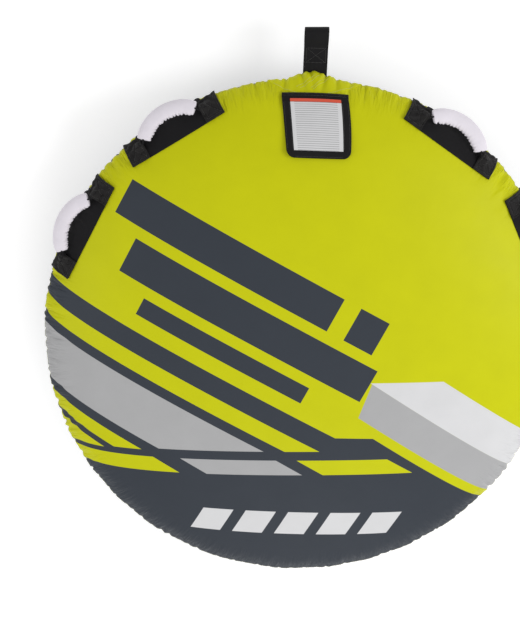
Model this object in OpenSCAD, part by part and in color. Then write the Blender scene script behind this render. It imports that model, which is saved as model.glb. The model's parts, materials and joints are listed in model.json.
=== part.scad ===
// Round towable inflatable tube: an inner bladder in a zipped two-panel cover, with a tow strap,
// four padded grab handles and a hinged flap over the valve. Millimetres, +Z up, +Y towards the
// tow strap, origin at the middle of the underside where it rests on the ground.

/* [Tube] */
// Diameter across the inflated tube
tube_d = 1370; // [1000:10:1900]
// Height of the upper dome above the rim seam
dome_h = 140; // [115:5:220]
// How far the lower dome would reach below the ground if it were not flattened by resting
rest_press = 10; // [6:1:20]
// Fullness of the dome's shoulder: 2 is an ellipse, more is squarer
dome_fullness = 2.6; // [2.2:0.1:3]
// Thickness of the cover's padded nylon
cover_t = 3; // [2:0.5:5]
// Air gap between the bladder and the cover
bladder_gap = 0.5; // [0.3:0.1:1]

/* [Rim seam] */
// Radius of the piping cord sewn into the rim seam
welt_r = 5; // [3:0.5:7]
// How far the piping is drawn in from the widest line of the tube
welt_draw_in = 4; // [0:0.5:6]
// Gap between sewn pieces that do not share a solid
sew_gap = 0.3; // [0.2:0.1:0.6]

/* [Tow point] */
// Width of the tow strap's webbing
strap_w = 61; // [40:1:80]
// Thickness of one layer of the tow strap's webbing
strap_t = 3; // [2:0.5:4]
// Radius of the tow strap's eye
eye_r = 12; // [8:0.5:16]
// Reach of the tow strap from its hinge line to its tip
strap_reach = 106; // [90:1:160]
// Radius of the reinforced nose's rolled edge
nose_r = 34; // [26:1:44]
// How far the nose stands out beyond the rim
nose_out = 12; // [6:1:18]
// Width of the nose along the rim
nose_w = 150; // [100:5:220]
// Clearance round the strap's root
strap_play = 1; // [0.5:0.25:2]

/* [Valve and flap] */
// Width of the valve flap
flap_w = 168; // [130:2:220]
// Length of the valve flap along the dome
flap_l = 152; // [120:2:190]
// Distance along the dome from the rim seam to the flap's sewn edge
flap_from_rim = 78; // [60:1:120]
// Thickness of the flap's panel
flap_t = 2.5; // [1.5:0.5:4]
// Height of the flap's panel above the cover
flap_lift = 1; // [0.6:0.2:2]
// Width of the binding down the flap's two sides and across its free edge
binding_w = 20; // [12:1:30]
// Width of the flap's sewn hem strip
hem_w = 12; // [8:1:20]
// Thickness of the flap's label
label_t = 0.8; // [0.5:0.1:1.5]
// Depth of the coloured band across the label's sewn end
band_l = 9; // [5:1:15]
// Radius of the round opening in the cover over the valve
valve_hole_r = 36; // [30:1:44]
// Depth of the pocket that the valve sits in
valve_pocket = 28; // [24:1:36]
// Radius of the valve's flange
valve_flange_r = 29; // [22:1:32]
// Radius of the valve's air passage
valve_bore_r = 9; // [6:0.5:11]

/* [Handles] */
// Length of each handle's webbing pad
pad_l = 270; // [220:5:320]
// Width of each handle's webbing pad
pad_w = 61; // [50:1:75]
// Distance along the dome from the rim seam to each pad's inner edge
pad_from_rim = 96; // [86:1:140]
// Thickness of the pad
pad_t = 3; // [2:0.5:4]
// Height above the rim seam at which the pad's knuckle guard ends
guard_from_rim = 8; // [7:1:20]
// Length of the quilted tab at each end of a pad
tab_l = 52; // [40:1:65]
// Thickness of the quilted tab
tab_t = 3; // [2:0.5:5]
// Angle between the tow line and the front pair of handles
front_handle_a = 33; // [28:1:38]
// Angle between the tow line and the side pair of handles
side_handle_a = 64; // [58:1:74]
// Distance between the two sewn ends of a grip
grip_span = 170; // [150:2:190]
// How far the grip's centre line arches away from its sewn ends
grip_rise = 42; // [38:1:60]
// Width of the padded grip, in the plane of its arch
grip_w = 40; // [30:1:44]
// Thickness of the padded grip, across the plane of its arch
grip_t = 23; // [18:1:28]
// Height of the grip's hinge line above the cover
grip_lift = 12; // [11:0.5:22]
// Angle of the resting grip above the shoulder of the dome
grip_rest_a = 22; // [14:1:40]
// Width of the webbing inside the grip
grip_web_w = 24; // [18:1:30]
// Thickness of the webbing inside the grip
grip_web_t = 4; // [3:0.5:5]
// Radius of the rolled hem at each end of the grip's webbing
grip_hem_r = 3; // [2.5:0.25:4]
// Clearance round the rolled hem in its sewn channel
grip_play = 0.5; // [0.3:0.1:1]

/* [Zip and drains] */
// Distance along the lower dome from the rim seam to the zip
zip_from_rim = 150; // [110:5:200]
// Length of the zip along its curve
zip_l = 620; // [400:20:800]
// Width of the zip's tape
zip_tape_w = 30; // [24:1:40]
// Width of the zip's closed coil
zip_coil_w = 7; // [5:1:10]
// Radius of each drain grommet
drain_r = 14; // [10:1:18]
// Radius of each drain hole
drain_hole_r = 7; // [4:0.5:9]
// Distance from the middle of the underside to the drains
drain_at = 430; // [400:5:480]

/* [Hidden] */

YELLOW = "#c3ca14";
BLACK = "#26262a";
WHITE = "#dcd9e0";
RED = "#dc4a34";

tube_r = tube_d / 2;
rim_z = dome_h;
low_h = dome_h + rest_press;
steps = 30;
a_step = 90 / steps;
fine = 96;

// A point of the dome at parameter a (0 at the crown, 90 at the rim) and its outward normal.
function dome_pt(a, h) = [tube_r * pow(sin(a), 2 / dome_fullness), h * cos(a)];
function unit(v) = v / norm(v);
function dome_nrm(a, h) = unit([h * pow(sin(a), 2 - 2 / dome_fullness),
                                tube_r * 2 / dome_fullness * cos(a)]);
function dome_off(a, h, g) = dome_pt(a, h) + g * dome_nrm(a, h);
function dome_line(h, g) = [for (i = [0:steps]) dome_off(i * a_step, h, g)];
function reversed(list) = [for (i = [len(list) - 1:-1:0]) list[i]];

// Arc length from the crown at each step, for placing things along the dome.
function arc_to(i, h) = i == 0 ? 0
    : arc_to(i - 1, h) + norm(dome_pt(i * a_step, h) - dome_pt((i - 1) * a_step, h));
top_arcs = [for (i = [0:steps]) [arc_to(i, dome_h), i * a_step]];
low_arcs = [for (i = [0:steps]) [arc_to(i, low_h), i * a_step]];
function top_a(from_rim) = lookup(top_arcs[steps][0] - from_rim, top_arcs);
function low_a(from_rim) = lookup(low_arcs[steps][0] - from_rim, low_arcs);
function slope(a, h) = atan2(dome_nrm(a, h)[0], dome_nrm(a, h)[1]);

// ---- dome helpers

// Solid of revolution between two offsets of the upper dome.
module top_shell(g_in, g_out) {
    translate([0, 0, rim_z])
        rotate_extrude($fn = fine)
            polygon(concat(dome_line(dome_h, g_out), reversed(dome_line(dome_h, g_in))));
}

// Half of the tube's side view: everything inside an offset of both domes, above the ground.
module tube_half_outline(g, floor_z) {
    intersection() {
        translate([0, rim_z])
            polygon(concat(dome_line(dome_h, g),
                           reversed([for (p = dome_line(low_h, g)) [p[0], -p[1]]])));
        translate([0, floor_z])
            square([2 * tube_r, 4 * dome_h]);
    }
}

// Cover panel outline: the skin between two offsets, cut back from the seam's piping.
module skin_outline(above) {
    seam = welt_r + sew_gap;
    intersection() {
        difference() {
            tube_half_outline(0, 0);
            tube_half_outline(-cover_t, cover_t);
        }
        translate([0, above ? rim_z + seam : -1])
            square([2 * tube_r, above ? 2 * dome_h : rim_z - seam + 1]);
    }
}

// Puts its children on the upper dome at parameter a and azimuth az, with +Z along the normal
// and +Y pointing up the slope towards the crown.
module on_dome(a, az) {
    p = dome_pt(a, dome_h);
    rotate([0, 0, az - 90])
        translate([0, p[0], rim_z + p[1]])
            rotate([-slope(a, dome_h), 0, 0])
                rotate([0, 0, 180])
                    children();
}

// ---- bladder and cover

valve_a = top_a(flap_from_rim + flap_l * 0.52);

module valve_well(r, depth) {
    on_dome(valve_a, 90)
        translate([0, 0, -depth])
            cylinder(r = r, h = depth + 20, $fn = 64);
}

module bladder() {
    inset = cover_t + bladder_gap;
    color("dimgray")
        difference() {
            rotate_extrude($fn = fine)
                difference() {
                    tube_half_outline(-inset, inset);
                    translate([tube_r - welt_draw_in, rim_z])
                        circle(r = welt_r + bladder_gap, $fn = 32);
                    translate([tube_r - welt_draw_in, rim_z - welt_r - bladder_gap])
                        square(2 * (welt_r + bladder_gap));
                }
            valve_well(valve_hole_r - 1, valve_pocket);
        }
}

module top_cover() {
    color(YELLOW)
        difference() {
            rotate_extrude($fn = fine)
                skin_outline(true);
            valve_well(valve_hole_r, valve_pocket);
        }
}

module bottom_cover() {
    color("#30343c")
        difference() {
            rotate_extrude($fn = fine)
                skin_outline(false);
            each_drain()
                translate([0, 0, -2 * cover_t])
                    cylinder(r = drain_hole_r, h = 4 * cover_t, $fn = 32);
        }
}

// The piping stops at the nose, where the tow strap comes through the seam.
nose_a = 2 * asin(nose_w / 2 / tube_r);

module rim_welt() {
    color(BLACK)
        rotate([0, 0, 90 + nose_a / 2 + 0.2])
            rotate_extrude(angle = 360 - nose_a - 0.4, $fn = fine)
                translate([tube_r - welt_draw_in, rim_z])
                    circle(r = welt_r, $fn = 24);
}

// ---- tow point

nose_c = tube_r + nose_out - nose_r;
slot_h = strap_t + sew_gap;
hinge_y = tube_r + nose_out + strap_play + 2 * strap_t;

module nose_outline(above) {
    intersection() {
        difference() {
            translate([nose_c, rim_z])
                circle(r = nose_r, $fn = 64);
            tube_half_outline(sew_gap, 0);
        }
        translate([0, above ? rim_z + slot_h : rim_z - slot_h - 2 * nose_r])
            square([2 * tube_r, 2 * nose_r]);
    }
}

module nose(above) {
    color(YELLOW)
        rotate([0, 0, 90 - nose_a / 2])
            rotate_extrude(angle = nose_a, $fn = fine)
                nose_outline(above);
}

module tow_nose_upper() {
    nose(true);
}

module tow_nose_lower() {
    nose(false);
}

// The doubled webbing sewn into the seam, from the bladder's groove out to the strap's hinge.
anchor_in = tube_r - welt_draw_in - welt_r + strap_t / 2;
anchor_out = hinge_y - strap_t - strap_play;

module tow_anchor() {
    color(BLACK)
        translate([-strap_w / 2, anchor_in, rim_z - strap_t])
            cube([strap_w, anchor_out - anchor_in, 2 * strap_t]);
}

eye_y = hinge_y + strap_reach - eye_r - strap_t;

module tow_strap() {
    color(BLACK)
        translate([strap_w / 2, 0, 0])
            rotate([0, -90, 0])
                linear_extrude(height = strap_w)
                    difference() {
                        union() {
                            translate([rim_z, hinge_y])
                                circle(r = strap_t, $fn = 32);
                            translate([rim_z - strap_t, hinge_y])
                                square([2 * strap_t, eye_y - hinge_y]);
                            translate([rim_z, eye_y])
                                circle(r = eye_r + strap_t, $fn = 64);
                        }
                        translate([rim_z, eye_y])
                            circle(r = eye_r, $fn = 64);
                    }
}

// ---- valve flap

flap_a = top_a(flap_from_rim);
flap_y = dome_pt(flap_a, dome_h)[0];
flap_end_y = dome_pt(top_a(flap_from_rim + flap_l), dome_h)[0];
flap_gap = 2;

// Part of a shell over the front of the dome, cut to a rectangle seen from above.
module front_sheet(g, t, half_w, y_near, y_far) {
    intersection() {
        top_shell(g, g + t);
        translate([-half_w, y_near, rim_z])
            cube([2 * half_w, y_far - y_near, 2 * dome_h]);
    }
}

module flap_hem() {
    hem_y = dome_pt(top_a(flap_from_rim - hem_w), dome_h)[0];
    color(BLACK)
        front_sheet(sew_gap, flap_t, flap_w / 2, flap_y, hem_y);
}

module valve_flap() {
    color(BLACK)
        front_sheet(flap_lift, flap_t, flap_w / 2, flap_end_y, flap_y - flap_gap);
}

label_z = flap_lift + flap_t + 0.1;
label_half_w = flap_w / 2 - binding_w;
label_end_y = dome_pt(top_a(flap_from_rim + flap_l - binding_w * 0.8), dome_h)[0];
band_y = dome_pt(top_a(flap_from_rim + 2 * flap_gap + band_l), dome_h)[0];

module flap_binding() {
    color(BLACK)
        difference() {
            front_sheet(label_z, label_t, flap_w / 2, flap_end_y, flap_y - flap_gap);
            translate([-label_half_w - sew_gap, label_end_y - sew_gap, rim_z])
                cube([2 * (label_half_w + sew_gap), flap_l, 2 * dome_h]);
        }
}

module flap_label() {
    color(WHITE)
        front_sheet(label_z, label_t, label_half_w, label_end_y, band_y - sew_gap);
}

module flap_label_band() {
    color(RED)
        front_sheet(label_z, label_t, label_half_w, band_y, flap_y - flap_gap);
}

// ---- valve

flange_t = 3;
neck_h = 9;
neck_wall = 5;
cap_wall = 2.5;
cap_h = 9;

module valve_base() {
    color("#3a3d44")
        on_dome(valve_a, 90)
            translate([0, 0, bladder_gap - valve_pocket])
                difference() {
                    union() {
                        cylinder(r = valve_flange_r, h = flange_t, $fn = 64);
                        cylinder(r = valve_bore_r + neck_wall, h = flange_t + neck_h, $fn = 64);
                    }
                    translate([0, 0, -1])
                        cylinder(r = valve_bore_r, h = flange_t + neck_h + 2, $fn = 48);
                }
}

module valve_cap() {
    seat = bladder_gap - valve_pocket + flange_t + neck_h + sew_gap;
    color("#2a2c31")
        on_dome(valve_a, 90)
            translate([0, 0, seat]) {
                cylinder(r = valve_bore_r + neck_wall + cap_wall, h = cap_h / 2, $fn = 64);
                cylinder(r = valve_bore_r, h = cap_h, $fn = 48);
            }
}

// ---- handles

HANDLE_AZ = [["front_left", 90 + front_handle_a], ["side_left", 90 + side_handle_a],
             ["front_right", 90 - front_handle_a], ["side_right", 90 - side_handle_a]];
pad_in_r = dome_pt(top_a(pad_from_rim), dome_h)[0];
pad_out_r = dome_pt(top_a(pad_from_rim - pad_w), dome_h)[0];

// Part of a shell over the dome's shoulder at azimuth az, between two distances along the rim.
module shoulder_sheet(az, g, t, u0, u1) {
    rotate([0, 0, az - 90])
        intersection() {
            top_shell(g, g + t);
            translate([u0, pad_in_r, rim_z])
                cube([u1 - u0, pad_out_r - pad_in_r, 2 * dome_h]);
        }
}

// The pad widens between its tabs into a guard under the knuckles, down to the rim seam.
module pad_plan() {
    guard_half = pad_l / 2 - tab_l;
    translate([-pad_l / 2, pad_in_r])
        square([pad_l, pad_out_r - pad_in_r]);
    translate([-guard_half, pad_in_r])
        square([2 * guard_half, tube_r + 2 * pad_t - pad_in_r]);
}

module pad(az) {
    color(BLACK)
        rotate([0, 0, az - 90])
            intersection() {
                top_shell(sew_gap, sew_gap + pad_t);
                translate([0, 0, rim_z + guard_from_rim])
                    linear_extrude(height = 2 * dome_h)
                        pad_plan();
            }
}

// The grip's hinge line runs straight between its two sewn ends, parallel to the pad. It lies
// this share of the pad's width outside the pad's inner edge.
hinge_share = 0.57;
hinge_s = pad_from_rim - pad_w * hinge_share;
hinge_a = top_a(hinge_s);
hinge_p = dome_off(hinge_a, dome_h, grip_lift);
hinge_slope = slope(hinge_a, dome_h);
channel_l = 22;
channel_r = grip_hem_r + grip_play + 3;

// Puts its children at a grip's hinge line: +X along the line, +Y out along the resting arch.
module at_grip(az) {
    rotate([0, 0, az - 90])
        translate([0, hinge_p[0], rim_z + hinge_p[1]])
            rotate([grip_rest_a - hinge_slope, 0, 0])
                children();
}

module channel(az, side, r, l) {
    at_grip(az)
        translate([side * channel_u, 0, 0])
            rotate([0, 90, 0])
                cylinder(r = r, h = l, center = true, $fn = 48);
}

// A stalk from the sewn channel down into the tab, so that the two are one piece.
channel_u = grip_span / 2 + channel_l / 2;
channel_plan_r = norm([hinge_p[0], channel_u]);
channel_lift = grip_lift + (channel_plan_r - hinge_p[0]) * sin(hinge_slope);
tab_top = pad_t + 2 * sew_gap + tab_t;

module channel_foot(az, side) {
    stalk = channel_lift - tab_top + tab_t / 2;
    rotate([0, 0, az - 90 - side * atan2(channel_u, hinge_p[0])])
        translate([0, channel_plan_r, rim_z + hinge_p[1]])
            rotate([-hinge_slope, 0, 0])
                translate([0, 0, -stalk])
                    cylinder(r = channel_r - 1, h = stalk, $fn = 48);
}

module tabs(az) {
    color("#1d1d20")
        for (side = [-1, 1])
            difference() {
                union() {
                    shoulder_sheet(az, pad_t + 2 * sew_gap, tab_t,
                                   side > 0 ? pad_l / 2 - tab_l : -pad_l / 2,
                                   side > 0 ? pad_l / 2 : tab_l - pad_l / 2);
                    channel(az, side, channel_r, channel_l);
                    channel_foot(az, side);
                }
                channel(az, side, grip_hem_r + grip_play, channel_l + 2);
            }
}

// Arch of the grip: a circle through both sewn ends and the crown. The padded sleeve and the
// webbing's arch stop these angles short of the sewn ends.
sleeve_stop_a = 11;
web_stop_a = 4;
arch_r = (grip_span * grip_span / 4 + grip_rise * grip_rise) / (2 * grip_rise);
arch_a = asin(grip_span / 2 / arch_r);
sleeve_a = arch_a - sleeve_stop_a;

module arch(half_a) {
    translate([0, grip_rise - arch_r, 0])
        rotate([0, 0, 90 - half_a])
            rotate_extrude(angle = 2 * half_a, $fn = fine)
                translate([arch_r, 0])
                    children();
}

// The padded sleeve leaves room down its middle for the webbing.
module grip(az) {
    color(WHITE)
        at_grip(az)
            arch(sleeve_a)
                difference() {
                    polygon([for (i = [0:27]) [grip_w / 2 * cos(i * 360 / 28),
                                               grip_t / 2 * sin(i * 360 / 28)]]);
                    square([grip_web_t + 2 * sew_gap, grip_web_w * 0.8 + 2 * sew_gap], center = true);
                }
}

module web(az) {
    color(BLACK)
        at_grip(az) {
            arch(arch_a - web_stop_a)
                square([grip_web_t, grip_web_w * 0.8], center = true);
            for (side = [-1, 1])
                web_end(side);
        }
}

// The webbing's end: a rolled hem in the sewn channel and a short neck to the arch.
module web_end(side) {
    half_t = grip_web_t / 2;
    foot_x = grip_span / 2 - grip_web_t - 1;
    neck_a = arch_a - web_stop_a - 2;
    neck = [arch_r * sin(neck_a), grip_rise - arch_r + arch_r * cos(neck_a)];
    translate([side * (channel_u - 3), 0, 0])
        rotate([0, 90, 0])
            cylinder(r = grip_hem_r, h = channel_l + 6, center = true, $fn = 48);
    linear_extrude(height = grip_web_w * 0.8, center = true)
        polygon([[side * (foot_x - half_t), -1], [side * (foot_x + half_t), -1],
                 [side * (neck[0] + half_t), neck[1]], [side * (neck[0] - half_t), neck[1]]]);
}

// ---- zip and drains on the lower dome

zip_mid_a = low_a(zip_from_rim);
zip_span_a = zip_l / dome_pt(zip_mid_a, low_h)[0] * 180 / PI;
zip_t = 1.2;

// Strip on the outside of the lower dome, of width w along the slope, behind the tube's middle.
module zip_strip(g, t, w, span) {
    a0 = low_a(zip_from_rim + w / 2);
    a1 = low_a(zip_from_rim - w / 2);
    inner = [for (i = [0:4]) dome_off(a0 + (a1 - a0) * i / 4, low_h, g)];
    outer = [for (i = [0:4]) dome_off(a0 + (a1 - a0) * i / 4, low_h, g + t)];
    translate([0, 0, rim_z])
        rotate([0, 0, -90 - span / 2])
            rotate_extrude(angle = span, $fn = fine)
                polygon([for (p = concat(inner, reversed(outer))) [p[0], -p[1]]]);
}

module zip_tape() {
    color(BLACK)
        zip_strip(0.6, zip_t, zip_tape_w, zip_span_a);
}

module zip_coil() {
    color("#17171a")
        zip_strip(0.7 + zip_t, 1.6, zip_coil_w, zip_span_a - 3);
}

// The slider's body rides over the coil, with its pull tab lying along the zip.
module zip_slider() {
    p = dome_off(zip_mid_a, low_h, zip_t + 2.6);
    color("silver")
        rotate([0, 0, zip_span_a / 2 - 4])
            translate([0, -p[0], rim_z - p[1]])
                rotate([-slope(zip_mid_a, low_h), 0, 0])
                    translate([0, 0, -2]) {
                        cube([15, 11, 3], center = true);
                        translate([-18, 0, -1.5])
                            difference() {
                                cube([30, 8, 1.5], center = true);
                                translate([-9, 0, 0])
                                    cylinder(r = 2.2, h = 4, center = true, $fn = 24);
                            }
                    }
}

drain_a = lookup(drain_at, [for (i = [0:steps]) [dome_pt(i * a_step, low_h)[0], i * a_step]]);

// Puts its children at each drain, with +Z along the cover's outward normal.
module each_drain() {
    p = dome_pt(drain_a, low_h);
    for (az = [45, 135, 225, 315])
        rotate([0, 0, az - 90])
            translate([0, p[0], rim_z - p[1]])
                rotate([180 + slope(drain_a, low_h), 0, 0])
                    children();
}

module drain_grommets() {
    color("silver")
        each_drain()
            translate([0, 0, 0.6])
                difference() {
                    cylinder(r = drain_r, h = 2, $fn = 48);
                    translate([0, 0, -1])
                        cylinder(r = drain_hole_r, h = 4, $fn = 32);
                }
}

// ---- one line per node

bladder();
top_cover();
bottom_cover();
rim_welt();
tow_nose_upper();
tow_nose_lower();
tow_anchor();
tow_strap();
flap_hem();
valve_flap();
flap_binding();
flap_label();
flap_label_band();
valve_base();
valve_cap();
pad(HANDLE_AZ[0][1]);  // pad_front_left
pad(HANDLE_AZ[1][1]);  // pad_side_left
pad(HANDLE_AZ[2][1]);  // pad_front_right
pad(HANDLE_AZ[3][1]);  // pad_side_right
tabs(HANDLE_AZ[0][1]);  // tabs_front_left
tabs(HANDLE_AZ[1][1]);  // tabs_side_left
tabs(HANDLE_AZ[2][1]);  // tabs_front_right
tabs(HANDLE_AZ[3][1]);  // tabs_side_right
grip(HANDLE_AZ[0][1]);  // grip_front_left
grip(HANDLE_AZ[1][1]);  // grip_side_left
grip(HANDLE_AZ[2][1]);  // grip_front_right
grip(HANDLE_AZ[3][1]);  // grip_side_right
web(HANDLE_AZ[0][1]);  // web_front_left
web(HANDLE_AZ[1][1]);  // web_side_left
web(HANDLE_AZ[2][1]);  // web_front_right
web(HANDLE_AZ[3][1]);  // web_side_right
zip_tape();
zip_coil();
zip_slider();
drain_grommets();
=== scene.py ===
"""Looks of a round towable inflatable tube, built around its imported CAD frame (metres, +Z up)."""

import json
import math

import bmesh
import bpy
import numpy as np
from mathutils import Matrix, Vector


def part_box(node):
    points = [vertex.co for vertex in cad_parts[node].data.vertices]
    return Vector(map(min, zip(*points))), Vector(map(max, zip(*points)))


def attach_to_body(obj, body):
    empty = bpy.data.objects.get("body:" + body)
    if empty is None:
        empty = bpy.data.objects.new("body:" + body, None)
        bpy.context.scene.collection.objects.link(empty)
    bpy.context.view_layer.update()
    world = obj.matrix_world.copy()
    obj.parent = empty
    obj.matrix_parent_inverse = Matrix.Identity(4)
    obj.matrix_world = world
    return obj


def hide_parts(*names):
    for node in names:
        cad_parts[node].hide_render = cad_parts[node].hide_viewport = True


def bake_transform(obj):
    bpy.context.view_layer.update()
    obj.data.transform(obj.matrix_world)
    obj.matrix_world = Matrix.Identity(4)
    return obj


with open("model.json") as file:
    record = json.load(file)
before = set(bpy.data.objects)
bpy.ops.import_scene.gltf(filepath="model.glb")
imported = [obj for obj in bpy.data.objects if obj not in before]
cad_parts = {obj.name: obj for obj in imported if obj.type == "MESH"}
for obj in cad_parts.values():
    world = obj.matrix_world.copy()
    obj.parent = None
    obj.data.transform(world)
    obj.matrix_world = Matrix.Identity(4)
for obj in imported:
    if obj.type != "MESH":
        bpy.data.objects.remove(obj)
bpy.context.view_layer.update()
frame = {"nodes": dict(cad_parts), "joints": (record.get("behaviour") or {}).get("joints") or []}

MM = 0.001
JOINTS = {j["name"]: j for j in frame["joints"]}
HANDLES = ("front_left", "side_left", "front_right", "side_right")

# ---------------------------------------------------------------- sizes that follow the frame
TOP_LOW, TOP_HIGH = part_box("top_cover")
STRAP_HINGE = Vector(JOINTS["strap_hinge"]["pos_m"])
RIM_Z = STRAP_HINGE.z
DOME_H = TOP_HIGH[2] - RIM_Z
REST_PRESS = 10 * MM                          # how far resting flattens the lower dome
LOW_H = DOME_H + REST_PRESS
TUBE_R = (TOP_HIGH[0] - TOP_LOW[0]) / 2 + 0.4 * MM
FULLNESS = 2.6                                # of the dome's shoulder, as in the CAD model
COVER_T = 3 * MM


def dome_curve(height):
    """Table of the dome's half outline: angle, radius, height, normal and arc length."""
    a = np.radians(np.linspace(0, 90, 1501))
    r = TUBE_R * np.sin(a) ** (2 / FULLNESS)
    z = height * np.cos(a)
    nr = height * np.sin(a) ** (2 - 2 / FULLNESS)
    nz = TUBE_R * 2 / FULLNESS * np.cos(a)
    size = np.hypot(nr, nz)
    arc = np.concatenate([[0], np.cumsum(np.hypot(np.diff(r), np.diff(z)))])
    return {"r": r, "z": z, "nr": nr / size, "nz": nz / size, "arc": arc}


TOP = dome_curve(DOME_H)
LOW = dome_curve(LOW_H)
TOP_ARC = TOP["arc"][-1]
LOW_ARC = LOW["arc"][-1]


def turn_from(theta, at):
    """Angle from at to theta, from minus half a turn to half a turn."""
    return (theta - at + math.pi) % (2 * math.pi) - math.pi


def plan_r(s):
    """Plan radius of the upper dome at arc length s from its pole."""
    return np.interp(s, TOP["arc"], TOP["r"])


def on_dome(curve, s, theta, g=0.0):
    """Points at arc length s from the pole and angle theta, lifted g along the normal."""
    s, theta, g = np.broadcast_arrays(s, theta, g)
    look = {k: np.interp(s, curve["arc"], curve[k]) for k in ("r", "z", "nr", "nz")}
    r = look["r"] + g * look["nr"]
    z = look["z"] + g * look["nz"]
    side = 1 if curve is TOP else -1
    return np.stack([r * np.cos(theta), r * np.sin(theta), RIM_Z + side * z], -1)


def from_plan(x, y, g=0.0):
    """Points of the upper dome above plan position x, y, lifted g along the normal."""
    s = np.interp(np.hypot(x, y), TOP["r"], TOP["arc"])
    return on_dome(TOP, s, np.arctan2(y, x), g)


# ---------------------------------------------------------------- camera
CAMERA_RIGHT = Vector((0.99906, 0.03795, 0.02085))
CAMERA_UP = Vector((-0.03052, 0.95875, -0.28261))
CAMERA_PLACE = (-0.2193, 0.9986, 3.411)
CAMERA_LENS = 88.06                           # in millimetres, on a 36 mm sensor


def make_camera():
    """The photograph's view: high over the tube, leaning a little towards its tow strap."""
    back = CAMERA_RIGHT.cross(CAMERA_UP)
    cam = bpy.data.cameras.new("camera")
    cam.sensor_fit = "HORIZONTAL"
    cam.sensor_width = 36
    cam.lens = CAMERA_LENS
    cam.clip_end = 50
    obj = bpy.data.objects.new("camera", cam)
    bpy.context.collection.objects.link(obj)
    turn = Matrix((CAMERA_RIGHT, CAMERA_UP, back)).transposed()
    obj.matrix_world = Matrix.Translation(CAMERA_PLACE) @ turn.to_4x4()
    bpy.context.scene.camera = obj
    bpy.context.scene.view_settings.view_transform = "Standard"


# ---------------------------------------------------------------- mesh helpers
def attach(obj, body, slot, *nodes):
    """Rides a piece on a body and hides the CAD nodes that it stands for. The slot argument is not used."""
    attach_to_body(obj, body)
    if nodes:
        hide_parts(*nodes)


def run_length(path):
    """Distance along a path at each of its points."""
    return np.concatenate([[0], np.cumsum(np.linalg.norm(np.diff(path, axis=0), axis=1))])


def make_piece(name, verts, faces, uvs=None, smooth=True, mats=()):
    """A mesh object with its UV map 'flat', given per vertex in metres."""
    mesh = bpy.data.meshes.new(name)
    mesh.from_pydata([tuple(v) for v in verts], [], [tuple(int(i) for i in f) for f in faces])
    mesh.validate()
    if uvs is not None:
        layer = mesh.uv_layers.new(name="flat")
        index = np.empty(len(mesh.loops), dtype=np.int32)
        mesh.loops.foreach_get("vertex_index", index)
        layer.data.foreach_set("uv", np.asarray(uvs, dtype=np.float32)[index].ravel())
    mesh.polygons.foreach_set("use_smooth", [smooth] * len(mesh.polygons))
    obj = bpy.data.objects.new(name, mesh)
    bpy.context.collection.objects.link(obj)
    for mat in mats:
        mesh.materials.append(mat)
    mesh.update()
    return obj


def grid_faces(rows, cols, wrap=False, start=0, flip=False):
    """Quads of a rows by cols vertex grid, wrapping round in the column direction if asked."""
    faces = []
    last = cols if wrap else cols - 1
    for i in range(rows - 1):
        for j in range(last):
            a = start + i * cols + j
            b = start + i * cols + (j + 1) % cols
            quad = (a, b, b + cols, a + cols)
            faces.append(quad[::-1] if flip else quad)
    return faces


def slab(name, u, v, place, low, high, mats, edge=1.2 * MM):
    """A closed sheet over the grid u by v. place(U, V, G) gives points; low and high are its faces'
    heights, as numbers or functions of U, V. Its border is rounded over the width edge."""
    U, V = np.meshgrid(u, v)
    lo = low(U, V) if callable(low) else np.full(U.shape, low)
    hi = high(U, V) if callable(high) else np.full(U.shape, high)
    to_border = np.minimum.reduce([U - u[0], u[-1] - U, V - v[0], v[-1] - V])
    k = np.clip(to_border / edge, 0, 1)
    fall = 1 - np.sqrt(np.clip(1 - (1 - k) ** 2, 0, 1))
    mid = (lo + hi) / 2
    hi = hi - (hi - mid) * fall * 0.92
    lo = lo + (mid - lo) * fall * 0.92
    top = place(U, V, hi).reshape(-1, 3)
    under = place(U, V, lo).reshape(-1, 3)
    rows, cols = U.shape
    n = rows * cols
    faces = grid_faces(rows, cols) + grid_faces(rows, cols, start=n, flip=True)
    ring = [j for j in range(cols)] + [i * cols + cols - 1 for i in range(1, rows)]
    ring += [(rows - 1) * cols + j for j in range(cols - 2, -1, -1)]
    ring += [i * cols for i in range(rows - 2, 0, -1)]
    for a, b in zip(ring, ring[1:] + ring[:1]):
        faces.append((b, a, a + n, b + n))
    uv = np.stack([U.ravel(), V.ravel()], -1)
    obj = make_piece(name, np.vstack([top, under]), faces, np.vstack([uv, uv]), mats=mats)
    outward(obj)
    return obj


def outward(obj):
    """Makes the normals of a closed mesh point outwards."""
    bm = bmesh.new()
    bm.from_mesh(obj.data)
    bmesh.ops.recalc_face_normals(bm, faces=bm.faces)
    bm.to_mesh(obj.data)
    bm.free()


def with_edges(values, edge, count):
    """An even grid between two ends, with extra lines close to each end for a rounded border."""
    lo, hi = values
    near = edge * np.array([0, 0.08, 0.25, 0.55, 1.0])
    inner = np.linspace(lo + edge * 2, hi - edge * 2, count)
    return np.concatenate([lo + near, inner, hi - near[::-1]])


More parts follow.
